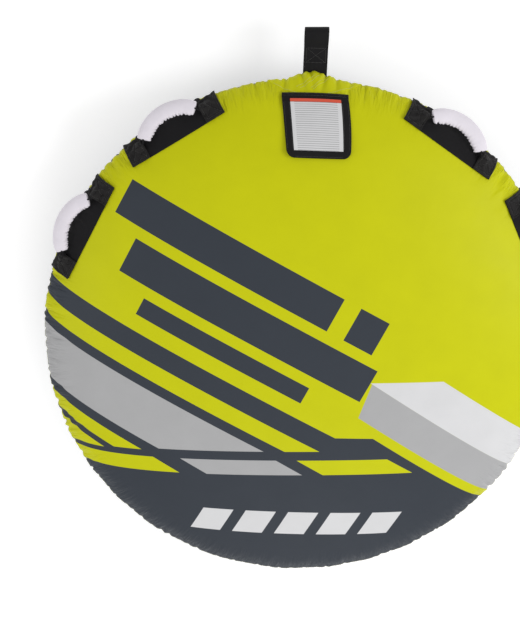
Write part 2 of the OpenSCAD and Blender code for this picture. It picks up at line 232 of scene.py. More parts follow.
def tube(name, path, radius, mats, sides=10, closed=False, flat=1.0, normals=None):
    """A round or oval cord along a path of points; flat squashes it along the path's normals."""
    path = np.asarray(path, float)
    n = len(path)
    if closed:
        tangent = np.roll(path, -1, 0) - np.roll(path, 1, 0)
    else:
        tangent = np.gradient(path, axis=0)
    tangent /= np.linalg.norm(tangent, axis=1)[:, None]
    if normals is None:
        normals = np.tile([0, 0, 1.0], (n, 1))
    side = np.cross(tangent, normals)
    side /= np.linalg.norm(side, axis=1)[:, None]
    up = np.cross(side, tangent)
    radius = np.broadcast_to(radius, n)
    ang = np.linspace(0, 2 * math.pi, sides, endpoint=False)
    ring = np.cos(ang)[None, :, None] * side[:, None] + flat * np.sin(ang)[None, :, None] * up[:, None]
    verts = (path[:, None] + radius[:, None, None] * ring).reshape(-1, 3)
    faces = grid_faces(n, sides, wrap=True)
    if closed:
        for j in range(sides):
            a, b = (n - 1) * sides + j, (n - 1) * sides + (j + 1) % sides
            faces.append((a, b, (j + 1) % sides, j))
    else:
        faces.append(tuple(range(sides))[::-1])
        faces.append(tuple((n - 1) * sides + j for j in range(sides)))
    along = run_length(path)
    uv = np.stack([np.repeat(along, sides), np.tile(ang * float(np.mean(radius)), n)], -1)
    obj = make_piece(name, verts, faces, uv, mats=mats)
    outward(obj)
    return obj


def stitch_row(lines, pitch=4.2 * MM, length=3.0 * MM, radius=0.5 * MM):
    """Vertices and faces of thread stitches along lines; each line is points and normals."""
    verts, faces = [], []
    for path, normals in lines:
        path = np.asarray(path, float)
        normals = np.broadcast_to(normals, path.shape)
        along = run_length(path)
        centres = np.arange(pitch / 2, along[-1] - length / 2, pitch)
        for c in centres:
            a = np.array([np.interp(c - length / 2, along, path[:, k]) for k in range(3)])
            b = np.array([np.interp(c + length / 2, along, path[:, k]) for k in range(3)])
            up = np.array([np.interp(c, along, normals[:, k]) for k in range(3)])
            up /= np.linalg.norm(up)
            side = np.cross(b - a, up)
            side *= radius / np.linalg.norm(side)
            start = len(verts)
            for t, size in ((0, 0.35), (0.22, 1.0), (0.78, 1.0), (1, 0.35)):
                mid = a + (b - a) * t + up * radius * (0.5 if size == 1.0 else -0.2)
                for da, db in ((1, 0), (0, 1), (-1, 0), (0, -1)):
                    verts.append(mid + size * (da * side + db * up * radius))
            for k in range(3):
                for j in range(4):
                    p = start + k * 4
                    faces.append((p + j, p + (j + 1) % 4, p + 4 + (j + 1) % 4, p + 4 + j))
            faces.append((start + 3, start + 2, start + 1, start))
            faces.append((start + 12, start + 13, start + 14, start + 15))
    return verts, faces


def stitches(name, lines, mat, body, slot, **sizes):
    """A piece of thread stitches that rides on a body."""
    verts, faces = stitch_row(lines, **sizes)
    uv = np.zeros((len(verts), 2))
    obj = make_piece(name, verts, faces, uv, mats=[mat])
    outward(obj)
    attach(obj, body, slot)
    return obj


def lathe(name, profile, base, axis, mats, steps=64):
    """A turned solid: profile is (radius, height) pairs, from axis to axis, about base and axis."""
    axis = Vector(axis).normalized()
    turn = axis.to_track_quat("Z", "Y").to_matrix()
    verts, faces = [], []
    for r, h in profile:
        for k in range(steps):
            a = 2 * math.pi * k / steps
            verts.append(Vector(base) + turn @ Vector((r * math.cos(a), r * math.sin(a), h)))
    faces = grid_faces(len(profile), steps, wrap=True)
    closed_ring = profile[0] == profile[-1]
    if not closed_ring:
        faces.append(tuple(range(steps))[::-1])
        faces.append(tuple((len(profile) - 1) * steps + k for k in range(steps)))
    uv = [(v.x, v.y) for v in verts]
    obj = make_piece(name, verts, faces, uv, mats=mats)
    if closed_ring:
        weld(obj)
    outward(obj)
    return obj


SAME_POINT = 0.00001                          # vertices closer than this are one, in metres


def weld(obj):
    """Joins vertices that lie on each other."""
    bm = bmesh.new()
    bm.from_mesh(obj.data)
    bmesh.ops.remove_doubles(bm, verts=bm.verts, dist=SAME_POINT)
    bm.to_mesh(obj.data)
    bm.free()


# ---------------------------------------------------------------- materials
class Shader:
    """A Principled material under construction, with short calls for its nodes."""

    def __init__(self, name, **sockets):
        self.mat = bpy.data.materials.new(name)
        self.mat.use_nodes = True
        self.tree = self.mat.node_tree
        self.bsdf = self.tree.nodes["Principled BSDF"]
        for key, value in sockets.items():
            self.bsdf.inputs[key.replace("_", " ")].default_value = value

    def node(self, kind, **props):
        made = self.tree.nodes.new(kind)
        for key, value in props.items():
            setattr(made, key, value)
        return made

    def link(self, a, b):
        self.tree.links.new(a, b)

    def math(self, op, a, b=None, c=None):
        made = self.node("ShaderNodeMath", operation=op)
        for socket, value in zip(made.inputs, (a, b, c)):
            if value is None:
                continue
            if isinstance(value, (int, float)):
                socket.default_value = value
            else:
                self.link(value, socket)
        return made.outputs[0]

    def flat(self):
        """The flat-pattern coordinate, in metres."""
        return self.node("ShaderNodeUVMap", uv_map="flat").outputs[0]

    def parts(self, vector):
        made = self.node("ShaderNodeSeparateXYZ")
        self.link(vector, made.inputs[0])
        return made.outputs[0], made.outputs[1]

    def noise(self, scale, detail=3.0, vector=None, rough=0.5):
        made = self.node("ShaderNodeTexNoise")
        made.inputs["Scale"].default_value = scale
        made.inputs["Detail"].default_value = detail
        made.inputs["Roughness"].default_value = rough
        if vector is not None:
            self.link(vector, made.inputs["Vector"])
        return made.outputs[0]

    def object_place(self):
        return self.node("ShaderNodeTexCoord").outputs["Object"]

    def ramp(self, value, low, high):
        """Maps a 0 to 1 value between two numbers."""
        made = self.node("ShaderNodeMapRange")
        self.link(value, made.inputs["Value"])
        made.inputs["To Min"].default_value = low
        made.inputs["To Max"].default_value = high
        return made.outputs[0]

    def mix(self, fac, a, b):
        made = self.node("ShaderNodeMix", data_type="RGBA")
        for socket, value in ((made.inputs[0], fac), (made.inputs[6], a), (made.inputs[7], b)):
            if isinstance(value, tuple):
                socket.default_value = (*value, 1.0)
            elif isinstance(value, (int, float)):
                socket.default_value = value
            else:
                self.link(value, socket)
        return made.outputs[2]

    def scale_colour(self, colour, factor):
        """Multiplies a colour by a grey factor."""
        made = self.node("ShaderNodeVectorMath", operation="SCALE")
        if isinstance(colour, tuple):
            made.inputs[0].default_value = colour
        else:
            self.link(colour, made.inputs[0])
        self.link(factor, made.inputs["Scale"])
        return made.outputs[0]

    def colour(self, value):
        if isinstance(value, tuple):
            self.bsdf.inputs["Base Color"].default_value = (*value, 1.0)
        else:
            self.link(value, self.bsdf.inputs["Base Color"])

    def bump(self, height, distance, strength=1.0, below=None):
        made = self.node("ShaderNodeBump")
        made.inputs["Strength"].default_value = strength
        made.inputs["Distance"].default_value = distance
        self.link(height, made.inputs["Height"])
        if below is not None:
            self.link(below, made.inputs["Normal"])
        self.link(made.outputs[0], self.bsdf.inputs["Normal"])
        return made.outputs[0]

    def rough(self, value):
        self.link(value, self.bsdf.inputs["Roughness"])


def waves(sh, coord, pitch):
    """A sine of one coordinate with the given pitch, from 0 to 1."""
    angle = sh.math("MULTIPLY", coord, 2 * math.pi / pitch)
    return sh.math("MULTIPLY_ADD", sh.math("SINE", angle), 0.5, 0.5)


def plain_weave(sh, x, y, pitch):
    """Height of a plain weave: threads that pass over and under each other."""
    wx = sh.math("MULTIPLY", x, math.pi / pitch)
    wy = sh.math("MULTIPLY", y, math.pi / pitch)
    over = sh.math("MULTIPLY", sh.math("SINE", wx), sh.math("SINE", wy))
    return sh.math("MULTIPLY_ADD", over, 0.5, 0.5)


def gather_creases(sh, x, y):
    """Fine creases that run in from the rim seam and fade towards the tube's middle."""
    length = sh.math("SQRT", sh.math("ADD", sh.math("MULTIPLY", x, x), sh.math("MULTIPLY", y, y)))
    turns = TUBE_R / (11 * MM)
    around = sh.node("ShaderNodeCombineXYZ")
    sh.link(sh.math("MULTIPLY", sh.math("DIVIDE", x, length), turns), around.inputs[0])
    sh.link(sh.math("MULTIPLY", sh.math("DIVIDE", y, length), turns), around.inputs[1])
    sh.link(sh.math("MULTIPLY", length, 1 / (70 * MM)), around.inputs[2])
    folds = sh.noise(1.0, 2.5, around.outputs[0], 0.55)
    near = sh.node("ShaderNodeMapRange", interpolation_type="SMOOTHSTEP")
    sh.link(length, near.inputs["Value"])
    near.inputs["From Min"].default_value = TOP_ARC - 120 * MM
    near.inputs["From Max"].default_value = TOP_ARC - 5 * MM
    return sh.math("MULTIPLY", folds, near.outputs[0])


def nylon(sh, x, y, rough_low, rough_high, flat, gathered=True):
    """Woven nylon: fine weave, small creases and slightly uneven sheen."""
    weave = plain_weave(sh, x, y, 0.9 * MM)
    creases = sh.noise(38.0, 4.0, flat, 0.55)
    first = sh.bump(creases, 1.2 * MM, 0.3)
    if gathered:
        first = sh.bump(gather_creases(sh, x, y), 13 * MM, 1.0, first)
    sh.bump(weave, 0.12 * MM, 0.55, first)
    sh.rough(sh.ramp(sh.noise(14.0, 3.0, flat), rough_low, rough_high))


PRINT_EDGE = 0.5 * MM                         # how soft a printed edge is


def half_plane(sh, x, y, angle, offset):
    """1 on the far side of a straight line across the flat pattern. The line runs at angle
    degrees, and lies offset metres from the middle, towards the lower left for a positive one."""
    nx = math.sin(math.radians(angle))
    ny = -math.cos(math.radians(angle))
    across = sh.math("ADD", sh.math("MULTIPLY", x, nx), sh.math("MULTIPLY", y, ny))
    ramp = sh.math("MULTIPLY_ADD", across, 1 / PRINT_EDGE, 0.5 - offset / PRINT_EDGE)
    made = ramp.node
    made.use_clamp = True
    return ramp


SLANT = -27.2          # the stripes' angle across the tube, in degrees
PLATE_SLANT = -32.5    # the pale plate's angle
LEVEL = 1.8            # the angle of the stripes' level ends
END_SLANT = -30.0      # the slanted ends of the lowest row
BAR_END = 64.0         # the cut ends of the dark bars


def printed_colour(sh, x, y, yellow, slate, grey, white):
    """The upper cover's print: slate below a slanted line, stripes, a pale plate and plain bars."""
    lines = {}

    def side(angle, offset_mm):
        key = (angle, offset_mm)
        if key not in lines:
            lines[key] = half_plane(sh, x, y, angle, offset_mm * MM)
        return lines[key]

    def both(a, b):
        return sh.math("MULTIPLY", a, b)

    def other(a):
        return sh.math("SUBTRACT", 1.0, a)

    def band(angle, near, far):
        return both(side(angle, near), other(side(angle, far)))

    def union(*masks):
        total = masks[0]
        for m in masks[1:]:
            total = sh.math("MAXIMUM", total, m)
        return total

    dark = union(side(SLANT, 174), both(side(0.0, 243), side(PLATE_SLANT, 101)))
    above_ends = other(side(LEVEL, 285))
    yellow_in = union(
        both(band(SLANT, 228, 273), above_ends),
        both(band(SLANT, 464, 502), other(side(LEVEL, 291))),
        both(side(SLANT, 520), other(side(LEVEL, 296))),
        both(band(LEVEL, 311, 355), union(side(END_SLANT, 476), band(END_SLANT, 145, 273))),
    )
    grey_in = union(
        both(band(SLANT, 300, 436), above_ends),
        both(band(LEVEL, 311, 355), band(END_SLANT, 302, 437)),
    )
    plate_left = other(half_plane(sh, x, y, -107.9, -199.6 * MM))
    plate_white = both(band(PLATE_SLANT, -132, -23), side(LEVEL, 91))
    plate_grey = both(band(PLATE_SLANT, -23, 74), plate_left)
    bars = union(
        both(band(SLANT, -168, -72), band(BAR_END, -600, 25)),
        both(band(SLANT, -42, 54), band(BAR_END, -520, 196)),
        both(band(SLANT, 84, 132), band(BAR_END, -430, 60)),
        both(band(SLANT, -168, -72), band(BAR_END, 75, 160)),
    )
    short = union(*[band(BAR_END, start, start + 74) for start in (-20, 84, 188, 292, 396)])
    mark = both(band(0.0, 472, 546), short)
    colour = sh.mix(bars, yellow, slate)
    colour = sh.mix(dark, colour, slate)
    colour = sh.mix(yellow_in, colour, yellow)
    colour = sh.mix(grey_in, colour, grey)
    colour = sh.mix(plate_grey, colour, grey)
    colour = sh.mix(plate_white, colour, white)
    return sh.mix(mark, colour, white)


YELLOW = (0.56, 0.572, 0.0005)
SLATE = (0.037, 0.044, 0.056)
GREY = (0.40, 0.40, 0.405)
PALE = (0.66, 0.66, 0.67)
NYLON_SHEEN = {"Roughness": 0.5, "Sheen_Weight": 0.03, "Sheen_Roughness": 0.35, "Specular_IOR_Level": 0.16}


def cover_material():
    """The upper cover's printed nylon."""
    sh = Shader("printed_nylon", **NYLON_SHEEN)
    flat = sh.flat()
    x, y = sh.parts(flat)
    nylon(sh, x, y, 0.42, 0.56, flat)
    print_colour = printed_colour(sh, x, y, YELLOW, SLATE, GREY, PALE)
    tone = sh.ramp(sh.noise(9.0, 4.0, flat, 0.6), 0.93, 1.06)
    sh.colour(sh.scale_colour(print_colour, tone))
    return sh.mat


def plain_nylon(name, colour, gathered=True):
    """Nylon of one colour, with the same weave as the printed cover."""
    sh = Shader(name, **NYLON_SHEEN)
    flat = sh.flat()
    x, y = sh.parts(flat)
    nylon(sh, x, y, 0.42, 0.58, flat, gathered)
    tone = sh.ramp(sh.noise(11.0, 4.0, flat, 0.6), 0.92, 1.07)
    sh.colour(sh.scale_colour(colour, tone))
    return sh.mat


def grip_material():
    """White padded nylon, crinkled across the grip's length."""
    sh = Shader("white_nylon", Roughness=0.6, Sheen_Weight=0.08, Specular_IOR_Level=0.3)
    flat = sh.flat()
    x, y = sh.parts(flat)
    weave = plain_weave(sh, x, y, 0.9 * MM)
    stretch = sh.node("ShaderNodeVectorMath", operation="MULTIPLY")
    sh.link(flat, stretch.inputs[0])
    stretch.inputs[1].default_value = (130.0, 26.0, 1.0)
    first = sh.bump(sh.noise(1.0, 3.0, stretch.outputs[0], 0.6), 2.2 * MM, 0.55)
    sh.bump(weave, 0.15 * MM, 0.5, first)
    sh.rough(sh.ramp(sh.noise(40.0, 3.0, flat), 0.5, 0.7))
    sh.colour(sh.scale_colour((0.76, 0.72, 0.78), sh.ramp(sh.noise(22.0, 4.0, flat), 0.9, 1.08)))
    return sh.mat


def webbing(name, colour, rib=2.2 * MM, crinkle=0.8 * MM):
    """Black polyester webbing: ribs along its length, crossed by a fine herringbone."""
    sh = Shader(name, Roughness=0.72, Sheen_Weight=0.02, Sheen_Roughness=0.45, Specular_IOR_Level=0.2)
    flat = sh.flat()
    x, y = sh.parts(flat)
    zigzag = sh.math("PINGPONG", y, rib)
    run = sh.math("ADD", x, zigzag)
    ribs = waves(sh, y, rib)
    twill = waves(sh, run, 1.3 * MM)
    height = sh.math("MULTIPLY_ADD", twill, 0.6, sh.math("MULTIPLY", ribs, 0.4))
    first = sh.bump(sh.noise(110.0, 4.0, flat, 0.6), crinkle, 0.6)
    sh.bump(height, 0.3 * MM, 0.7, first)
    sh.rough(sh.ramp(sh.noise(30.0, 3.0, flat), 0.62, 0.82))
    # painted shade and highlight: the colour is darker in the weave's grooves and lighter on its raised
    # threads, times a random tone
    tone = sh.math("MULTIPLY", sh.ramp(height, 0.7, 1.25), sh.ramp(sh.noise(45.0, 4.0, flat), 0.8, 1.3))
    sh.colour(sh.scale_colour(colour, tone))
    return sh.mat


def thread(name, colour):
    """Twisted sewing thread."""
    sh = Shader(name, Roughness=0.6, Sheen_Weight=0.2)
    place = sh.object_place()
    sh.bump(sh.noise(2500.0, 2.0, place), 0.1 * MM, 0.5)
    sh.colour(sh.scale_colour(colour, sh.ramp(sh.noise(400.0, 2.0, place), 0.85, 1.15)))
    return sh.mat


def moulded(name, colour, rough, metallic=0.0):
    """Moulded plastic, PVC or plated metal with a fine grain and faint scuffs."""
    sh = Shader(name, Roughness=rough, Metallic=metallic)
    place = sh.object_place()
    sh.bump(sh.noise(900.0, 3.0, place), 0.08 * MM, 0.35)
    sh.rough(sh.ramp(sh.noise(60.0, 4.0, place), rough * 0.8, min(1.0, rough * 1.35)))
    sh.colour(sh.scale_colour(colour, sh.ramp(sh.noise(25.0, 3.0, place), 0.9, 1.08)))
    return sh.mat


def label_material(name, colour, ruled=0.0):
    """Satin label film with a faint waviness where it is sewn on, and plain ruled lines if asked."""
    sh = Shader(name, Roughness=0.38, Coat_Weight=0.15, Coat_Roughness=0.25)
    flat = sh.flat()
    sh.bump(sh.noise(55.0, 2.0, flat), 0.7 * MM, 0.5)
    sh.rough(sh.ramp(sh.noise(90.0, 3.0, flat), 0.3, 0.46))
    tone = sh.ramp(sh.noise(30.0, 3.0, flat), 0.95, 1.04)
    if ruled:
        x, y = sh.parts(flat)
        rows = sh.math("COMPARE", sh.math("MODULO", y, ruled), ruled * 0.5, ruled * 0.16)
        inside = sh.math("LESS_THAN", sh.math("ABSOLUTE", x), 54 * MM)
        shade = sh.math("MULTIPLY", rows, sh.math("MULTIPLY", inside, 0.42))
        tone = sh.math("MULTIPLY", tone, sh.math("SUBTRACT", 1.0, shade))
    sh.colour(sh.scale_colour(colour, tone))
    return sh.mat


MATS = {}


def make_materials():
    MATS["cover"] = cover_material()
    MATS["yellow"] = plain_nylon("yellow_nylon", YELLOW, False)
    MATS["dark"] = plain_nylon("dark_nylon", SLATE, False)
    MATS["slate"] = plain_nylon("slate_nylon", SLATE)
    MATS["web"] = webbing("black_webbing", (0.006, 0.0055, 0.0065))
    MATS["quilt"] = webbing("quilted_webbing", (0.014, 0.013, 0.013), 3.0 * MM, 3.5 * MM)
    MATS["piping"] = webbing("piping_tape", (0.012, 0.012, 0.014), 1.6 * MM)
    MATS["grip"] = grip_material()
    MATS["thread_dark"] = thread("dark_thread", (0.035, 0.033, 0.032))
    MATS["thread_pale"] = thread("pale_thread", (0.62, 0.62, 0.22))
    MATS["thread_grey"] = thread("grey_thread", (0.10, 0.105, 0.11))
    MATS["label"] = label_material("label_film", PALE, 5.4 * MM)
    MATS["band"] = label_material("label_band_film", (0.68, 0.08, 0.035))
    MATS["pvc"] = moulded("bladder_pvc", (0.10, 0.105, 0.11), 0.35)
    MATS["plastic"] = moulded("valve_plastic", (0.02, 0.021, 0.024), 0.42)
    # the zip coil's plastic, also used for the black discs of painted shade in the drain holes
    MATS["coil"] = moulded("zip_coil_plastic_and_hole_shade", (0.012, 0.012, 0.013), 0.38)
    MATS["metal"] = moulded("plated_metal", (0.62, 0.61, 0.58), 0.28, 1.0)


# ---------------------------------------------------------------- cover
RNG = np.random.default_rng(46)
PUCKERS = 132
GATHER_FOCI = ((math.pi / 2, 0.30), (2.38, 0.24), (0.76, 0.24), (3.35, 0.5), (-0.35, 0.4))


def make_puckers():
    """Gathers of the rim seam: place round the rim, depth, length, width and lean of each."""
    at = 2 * math.pi * (np.arange(PUCKERS) + RNG.uniform(-0.38, 0.38, PUCKERS)) / PUCKERS
    pull = np.zeros(PUCKERS)
    for focus, spread in GATHER_FOCI:
        gap = turn_from(at, focus)
        pull += np.exp(-(gap / spread) ** 2)
    return {
        "at": at,
        "depth": MM * (1.2 + 4.2 * RNG.random(PUCKERS) ** 1.3 + 3.2 * pull),
        "long": MM * (30 + 66 * RNG.random(PUCKERS) ** 1.5 + 52 * pull),
        "wide": MM * RNG.uniform(2.2, 4.6, PUCKERS),
        "lean": RNG.uniform(-0.28, 0.28, PUCKERS),
    }


GATHERS = {"top": make_puckers(), "low": make_puckers()}
DRAWN_IN = 6.5 * MM                           # how far the tow strap's root draws the rim in


def relief(which, d, theta):
    """Height of the cover's surface above the plain dome, d metres from the rim seam."""
    p = GATHERS[which]
    near, theta = np.broadcast_arrays(np.clip(d, 0, None), theta)
    out = np.zeros(near.shape)
    for at, depth, long, wide, lean in zip(*(p[k] for k in ("at", "depth", "long", "wide", "lean"))):
        gap = turn_from(theta, at)
        across = gap * TUBE_R - lean * near
        width = wide + 0.07 * near
        close = (np.abs(across) < 7 * width) & (near < long)
        fade = np.clip(1 - near[close] / long, 0, 1) ** 1.4
        x = np.abs(across[close] / width[close])
        out[close] += depth * fade * (0.34 * np.exp(-(x - 2.1) ** 2) - np.exp(-x ** 1.35))
    front = np.exp(-(turn_from(theta, math.pi / 2) / 0.75) ** 2)
    full = 4.2 * MM if which == "top" else 4.2 * MM * (1 - 1.3 * front)
    bulge = full * np.exp(-((near - 15 * MM) / (16 * MM)) ** 2)
    slow = 1.3 * MM * np.sin(29 * theta + 2 * np.sin(5 * theta)) * np.exp(-(near / (45 * MM)) ** 2)
    tow = np.abs(turn_from(theta, math.pi / 2)) * TUBE_R
    drawn = DRAWN_IN * np.exp(-(tow / (230 * MM)) ** 2) * np.exp(-(near / (70 * MM)) ** 2)
    seam = np.clip(near / (9 * MM), 0, 1)
    return (out + bulge + slow) * (0.3 + 0.7 * seam) - drawn


def ring_strip(first, second, start_a, start_b):
    """Faces between two rings of vertices, where one may have twice as many as the other."""
    faces = []
    if first == second:
        for k in range(first):
            n = (k + 1) % first
            faces.append((start_a + k, start_a + n, start_b + n, start_b + k))
        return faces
    swap = first > second
    few, many = (second, first) if swap else (first, second)
    a0, b0 = (start_b, start_a) if swap else (start_a, start_b)
    for k in range(few):
        n = (k + 1) % few
        trio = (b0 + 2 * k, b0 + 2 * k + 1, b0 + (2 * k + 2) % many)
        made = [(a0 + k, trio[1], trio[0]), (a0 + k, a0 + n, trio[1]), (a0 + n, trio[2], trio[1])]
        faces += [f[::-1] for f in made] if swap else made
    return faces


def cover_shell(name, curve, which, arc, around, mats):
    """A closed cloth shell over one dome, from its pole to the rim seam, finest near the rim."""
    seam_gap = 4 * MM
    near = 125 * MM
    middle = 320 * MM
    rings = [(s, 0.0, around) for s in np.linspace(2 * MM, arc - middle, 26)]
    rings += [(s, 0.0, 2 * around) for s in np.linspace(arc - middle, arc - near, 20)[1:]]
    t = np.linspace(0, 1, 31)[1:]
    rings += [(arc - near + (near - seam_gap) * (1 - (1 - x) ** 1.3), 0.0, 4 * around) for x in t]
    rings += [(arc - seam_gap, -COVER_T * 0.5, 4 * around), (arc - seam_gap, -COVER_T, 4 * around)]
    rings += [(arc - 14 * MM, -COVER_T, 2 * around)]
    rings += [(s, -COVER_T, around) for s in np.linspace(arc - 40 * MM, 2 * MM, 14)]
    points, flats, faces, start = [], [], [], 0
    for k, (s, g, count) in enumerate(rings):
        theta = np.linspace(0, 2 * math.pi, count, endpoint=False)
        ring = on_dome(curve, s, theta, relief(which, arc - s, theta) + g)
        ring[:, 2] = np.maximum(ring[:, 2], -g)
        points.append(ring)
        flats.append(np.stack([s * np.cos(theta), s * np.sin(theta)], -1))
        if k:
            faces += ring_strip(rings[k - 1][2], count, start - rings[k - 1][2], start)
        start += count
    last = rings[-1][2]
    faces.append(tuple(range(around))[::-1])
    faces.append(tuple(start - last + k for k in range(last)))
    obj = make_piece(name, np.vstack(points), faces, np.vstack(flats), mats=mats)
    outward(obj)
    return obj


def cut_hole(obj, centre, axis, radius):
    """Cuts a round hole through a sheet."""
    bpy.ops.mesh.primitive_cylinder_add(vertices=64, radius=radius, depth=60 * MM, location=centre)
    cutter = bpy.context.active_object
    cutter.rotation_mode = "QUATERNION"
    cutter.rotation_quaternion = Vector(axis).to_track_quat("Z", "Y")
    bpy.context.view_layer.update()
    mod = obj.modifiers.new("hole", "BOOLEAN")
    mod.operation = "DIFFERENCE"
    mod.solver = "EXACT"
    mod.object = cutter
    deps = bpy.context.evaluated_depsgraph_get()
    mesh = bpy.data.meshes.new_from_object(obj.evaluated_get(deps))
    obj.modifiers.clear()
    old = obj.data
    obj.data = mesh
    bpy.data.meshes.remove(old)
    bpy.data.objects.remove(cutter)


FLAP_FROM_RIM = 78 * MM
FLAP_L = 152 * MM
VALVE_S = TOP_ARC - (FLAP_FROM_RIM + FLAP_L * 0.52)
HOLE_R = 36 * MM


def valve_frame():
    """A point on the cover over the valve, and the cover's normal there."""
    base = on_dome(TOP, VALVE_S, math.pi / 2)
    up = on_dome(TOP, VALVE_S, math.pi / 2, 1.0) - base
    return Vector(base), Vector(up).normalized()


def make_cover():
    top = cover_shell("cover_top", TOP, "top", TOP_ARC, 340, [MATS["cover"]])
    base, up = valve_frame()
    cut_hole(top, base, up, HOLE_R)
    attach(top, "tube", "cover_top", "top_cover")
    low = cover_shell("cover_bottom", LOW, "low", LOW_ARC, 280, [MATS["slate"]])
    attach(low, "tube", "cover_bottom", "bottom_cover")
    ring_a = np.linspace(0, 2 * math.pi, 80, endpoint=False)
    side = Vector((1, 0, 0))
    fore = up.cross(side)
    ring = [base + (HOLE_R - 1 * MM) * (math.cos(a) * side + math.sin(a) * fore) for a in ring_a]
    ring = [from_plan(p.x, p.y, 0.4 * MM) for p in ring]
    hem = tube("valve_hole_binding", ring, 2.2 * MM, [MATS["web"]], closed=True, flat=0.45,
               normals=np.tile(np.array(up), (len(ring), 1)))
    attach(hem, "tube", "webbing")


def make_bladder():
    """The inner bladder: the tube's own shape, a little smaller, with a pocket for its valve."""
    inset = 12 * MM
    floor_z = 5 * MM
    s_top = np.linspace(0, TOP_ARC, 60)
    s_low = np.linspace(LOW_ARC, 0, 60)
    upper = on_dome(TOP, s_top, 0.0, -inset)
    lower = on_dome(LOW, s_low, 0.0, -inset)
    line = np.vstack([upper, lower[1:]])
    profile = [(max(p[0], 0.05 * MM), max(p[2], floor_z)) for p in line]
    skin = lathe("bladder_skin", profile, (0, 0, 0), (0, 0, 1), [MATS["pvc"]], steps=240)
    base, up = valve_frame()
    cut_hole(skin, base + up * 1.8 * MM, up, HOLE_R - 1 * MM)
    attach(skin, "tube", "bladder", "bladder")


def make_piping():
    """The piping in the rim seam, which follows the gathers of both covers."""
    theta = np.linspace(0, 2 * math.pi, 900, endpoint=False)
    lift = (relief("top", 3 * MM, theta) + relief("low", 3 * MM, theta)) * 0.5
    wave = 0.8 * MM * np.sin(41 * theta) + 0.6 * MM * np.sin(67 * theta + 1)
    front = np.exp(-((theta - math.pi / 2) / 0.75) ** 2)
    r = TUBE_R - 3.2 * MM - 3.5 * MM * front + lift
    path = np.stack([r * np.cos(theta), r * np.sin(theta), RIM_Z + wave], -1)
    out = np.stack([np.cos(theta), np.sin(theta), 0 * theta], -1)
    welt = tube("rim_piping", path, 4.2 * MM, [MATS["piping"]], sides=12, closed=True, normals=out)
    attach(welt, "tube", "webbing", "rim_welt")


def seam_stitches():
    """Top stitching beside the rim seam and across the lower cover."""
    theta = np.linspace(0, 2 * math.pi, 900)
    d = 15 * MM
    for which, curve, arc, mat, slot in (("top", TOP, TOP_ARC, "thread_pale", "cover_top"),
                                         ("low", LOW, LOW_ARC, "thread_grey", "cover_bottom")):
        path = on_dome(curve, arc - d, theta, relief(which, np.array(d), theta) + 0.15 * MM)
        up = on_dome(curve, arc - d, theta, 1.0) - on_dome(curve, arc - d, theta, 0.0)
        stitches("stitches_rim_" + which, [(path, up)], MATS[mat], "tube", slot,
                 pitch=5.2 * MM, length=3.6 * MM, radius=0.42 * MM)


# ---------------------------------------------------------------- tow point
NOSE_HALF_A = 122 * MM / TUBE_R               # the crescent's half width, round the rim
NOSE_CORE = 0.66                              # how much of that width stands out
NOSE_LEAN = 9 * MM / TUBE_R
NOSE_OUT = 12 * MM
STRAP_LOW, STRAP_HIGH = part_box("tow_strap")
STRAP_W = STRAP_HIGH[0] - STRAP_LOW[0]
STRAP_T = 3 * MM
EYE_R = 12 * MM


def make_nose(name, curve, which, arc, node, mat, slot):
    """The cover's reinforced peak over the root of the tow strap: a crescent beside the seam."""
    reach = 72 * MM
    a = np.linspace(-1, 1, 110)
    d = np.concatenate([[0, 0.012, 0.03], np.linspace(0.055, 1, 32)])

    def angle(K):
        return math.pi / 2 - K * NOSE_HALF_A + NOSE_LEAN * np.cos(K * math.pi / 2)

    def depth(K, D):
        return 2.6 * MM + D * reach * (0.16 + 0.84 * np.cos(K * math.pi / 2) ** 0.9)

    def place(K, D, G):
        A, d_rim = angle(K), depth(K, D)
        return on_dome(curve, arc - d_rim, A, G + relief(which, d_rim, A))

    def high(K, D):
        side = np.clip(1 - np.abs(K) / NOSE_CORE, 0, 1)
        side = side ** 2 * (3 - 2 * side)
        inward = np.clip(1 - D * 1.15, 0, 1) ** 1.5
        folds = (0.8 * np.sin(K * 19 + D * 6) + 0.6 * np.sin(K * 31 - D * 9)) * MM * np.sqrt(side) * inward
        edge = np.exp(-((1 - D) * reach / (3 * MM)) ** 2)
        return 1.3 * MM + (NOSE_OUT + 8 * MM) * side * inward + folds - 0.5 * MM * edge

    obj = slab(name, a, d, place, -1.0 * MM, high, [mat], edge=0.004)
    layer = obj.data.uv_layers["flat"]
    uv = np.empty(len(obj.data.loops) * 2, dtype=np.float32)
    layer.data.foreach_get("uv", uv)
    uv = uv.reshape(-1, 2) * np.array([TUBE_R * NOSE_HALF_A, reach])
    layer.data.foreach_set("uv", uv.astype(np.float32).ravel())
    attach(obj, "tube", slot, node)
    lines = []
    runs = (((-0.34, 0.62), (0.10, 0.14)), ((-0.26, 0.66), (0.18, 0.16)), ((-0.02, 0.62), (0.30, 0.22)),
            ((0.03, 0.66), (0.35, 0.25)), ((-0.86, 0.86), (0.0, 0.93)), ((0.0, 0.93), (0.86, 0.86)))
    for start, end in runs:
        t = np.linspace(0, 1, 40)
        K = start[0] + (end[0] - start[0]) * t
        D = start[1] + (end[1] - start[1]) * t
        path = place(K, D, high(K, D) + 0.15 * MM)
        up = place(K, D, 0.01 + 0 * K) - place(K, D, 0 * K)
        lines.append((path, up))
    thread_mat = MATS["thread_pale"] if which == "top" else MATS["thread_grey"]
    stitches("stitches_" + name, lines, thread_mat, "tube", slot, pitch=4.6 * MM, length=3.4 * MM)


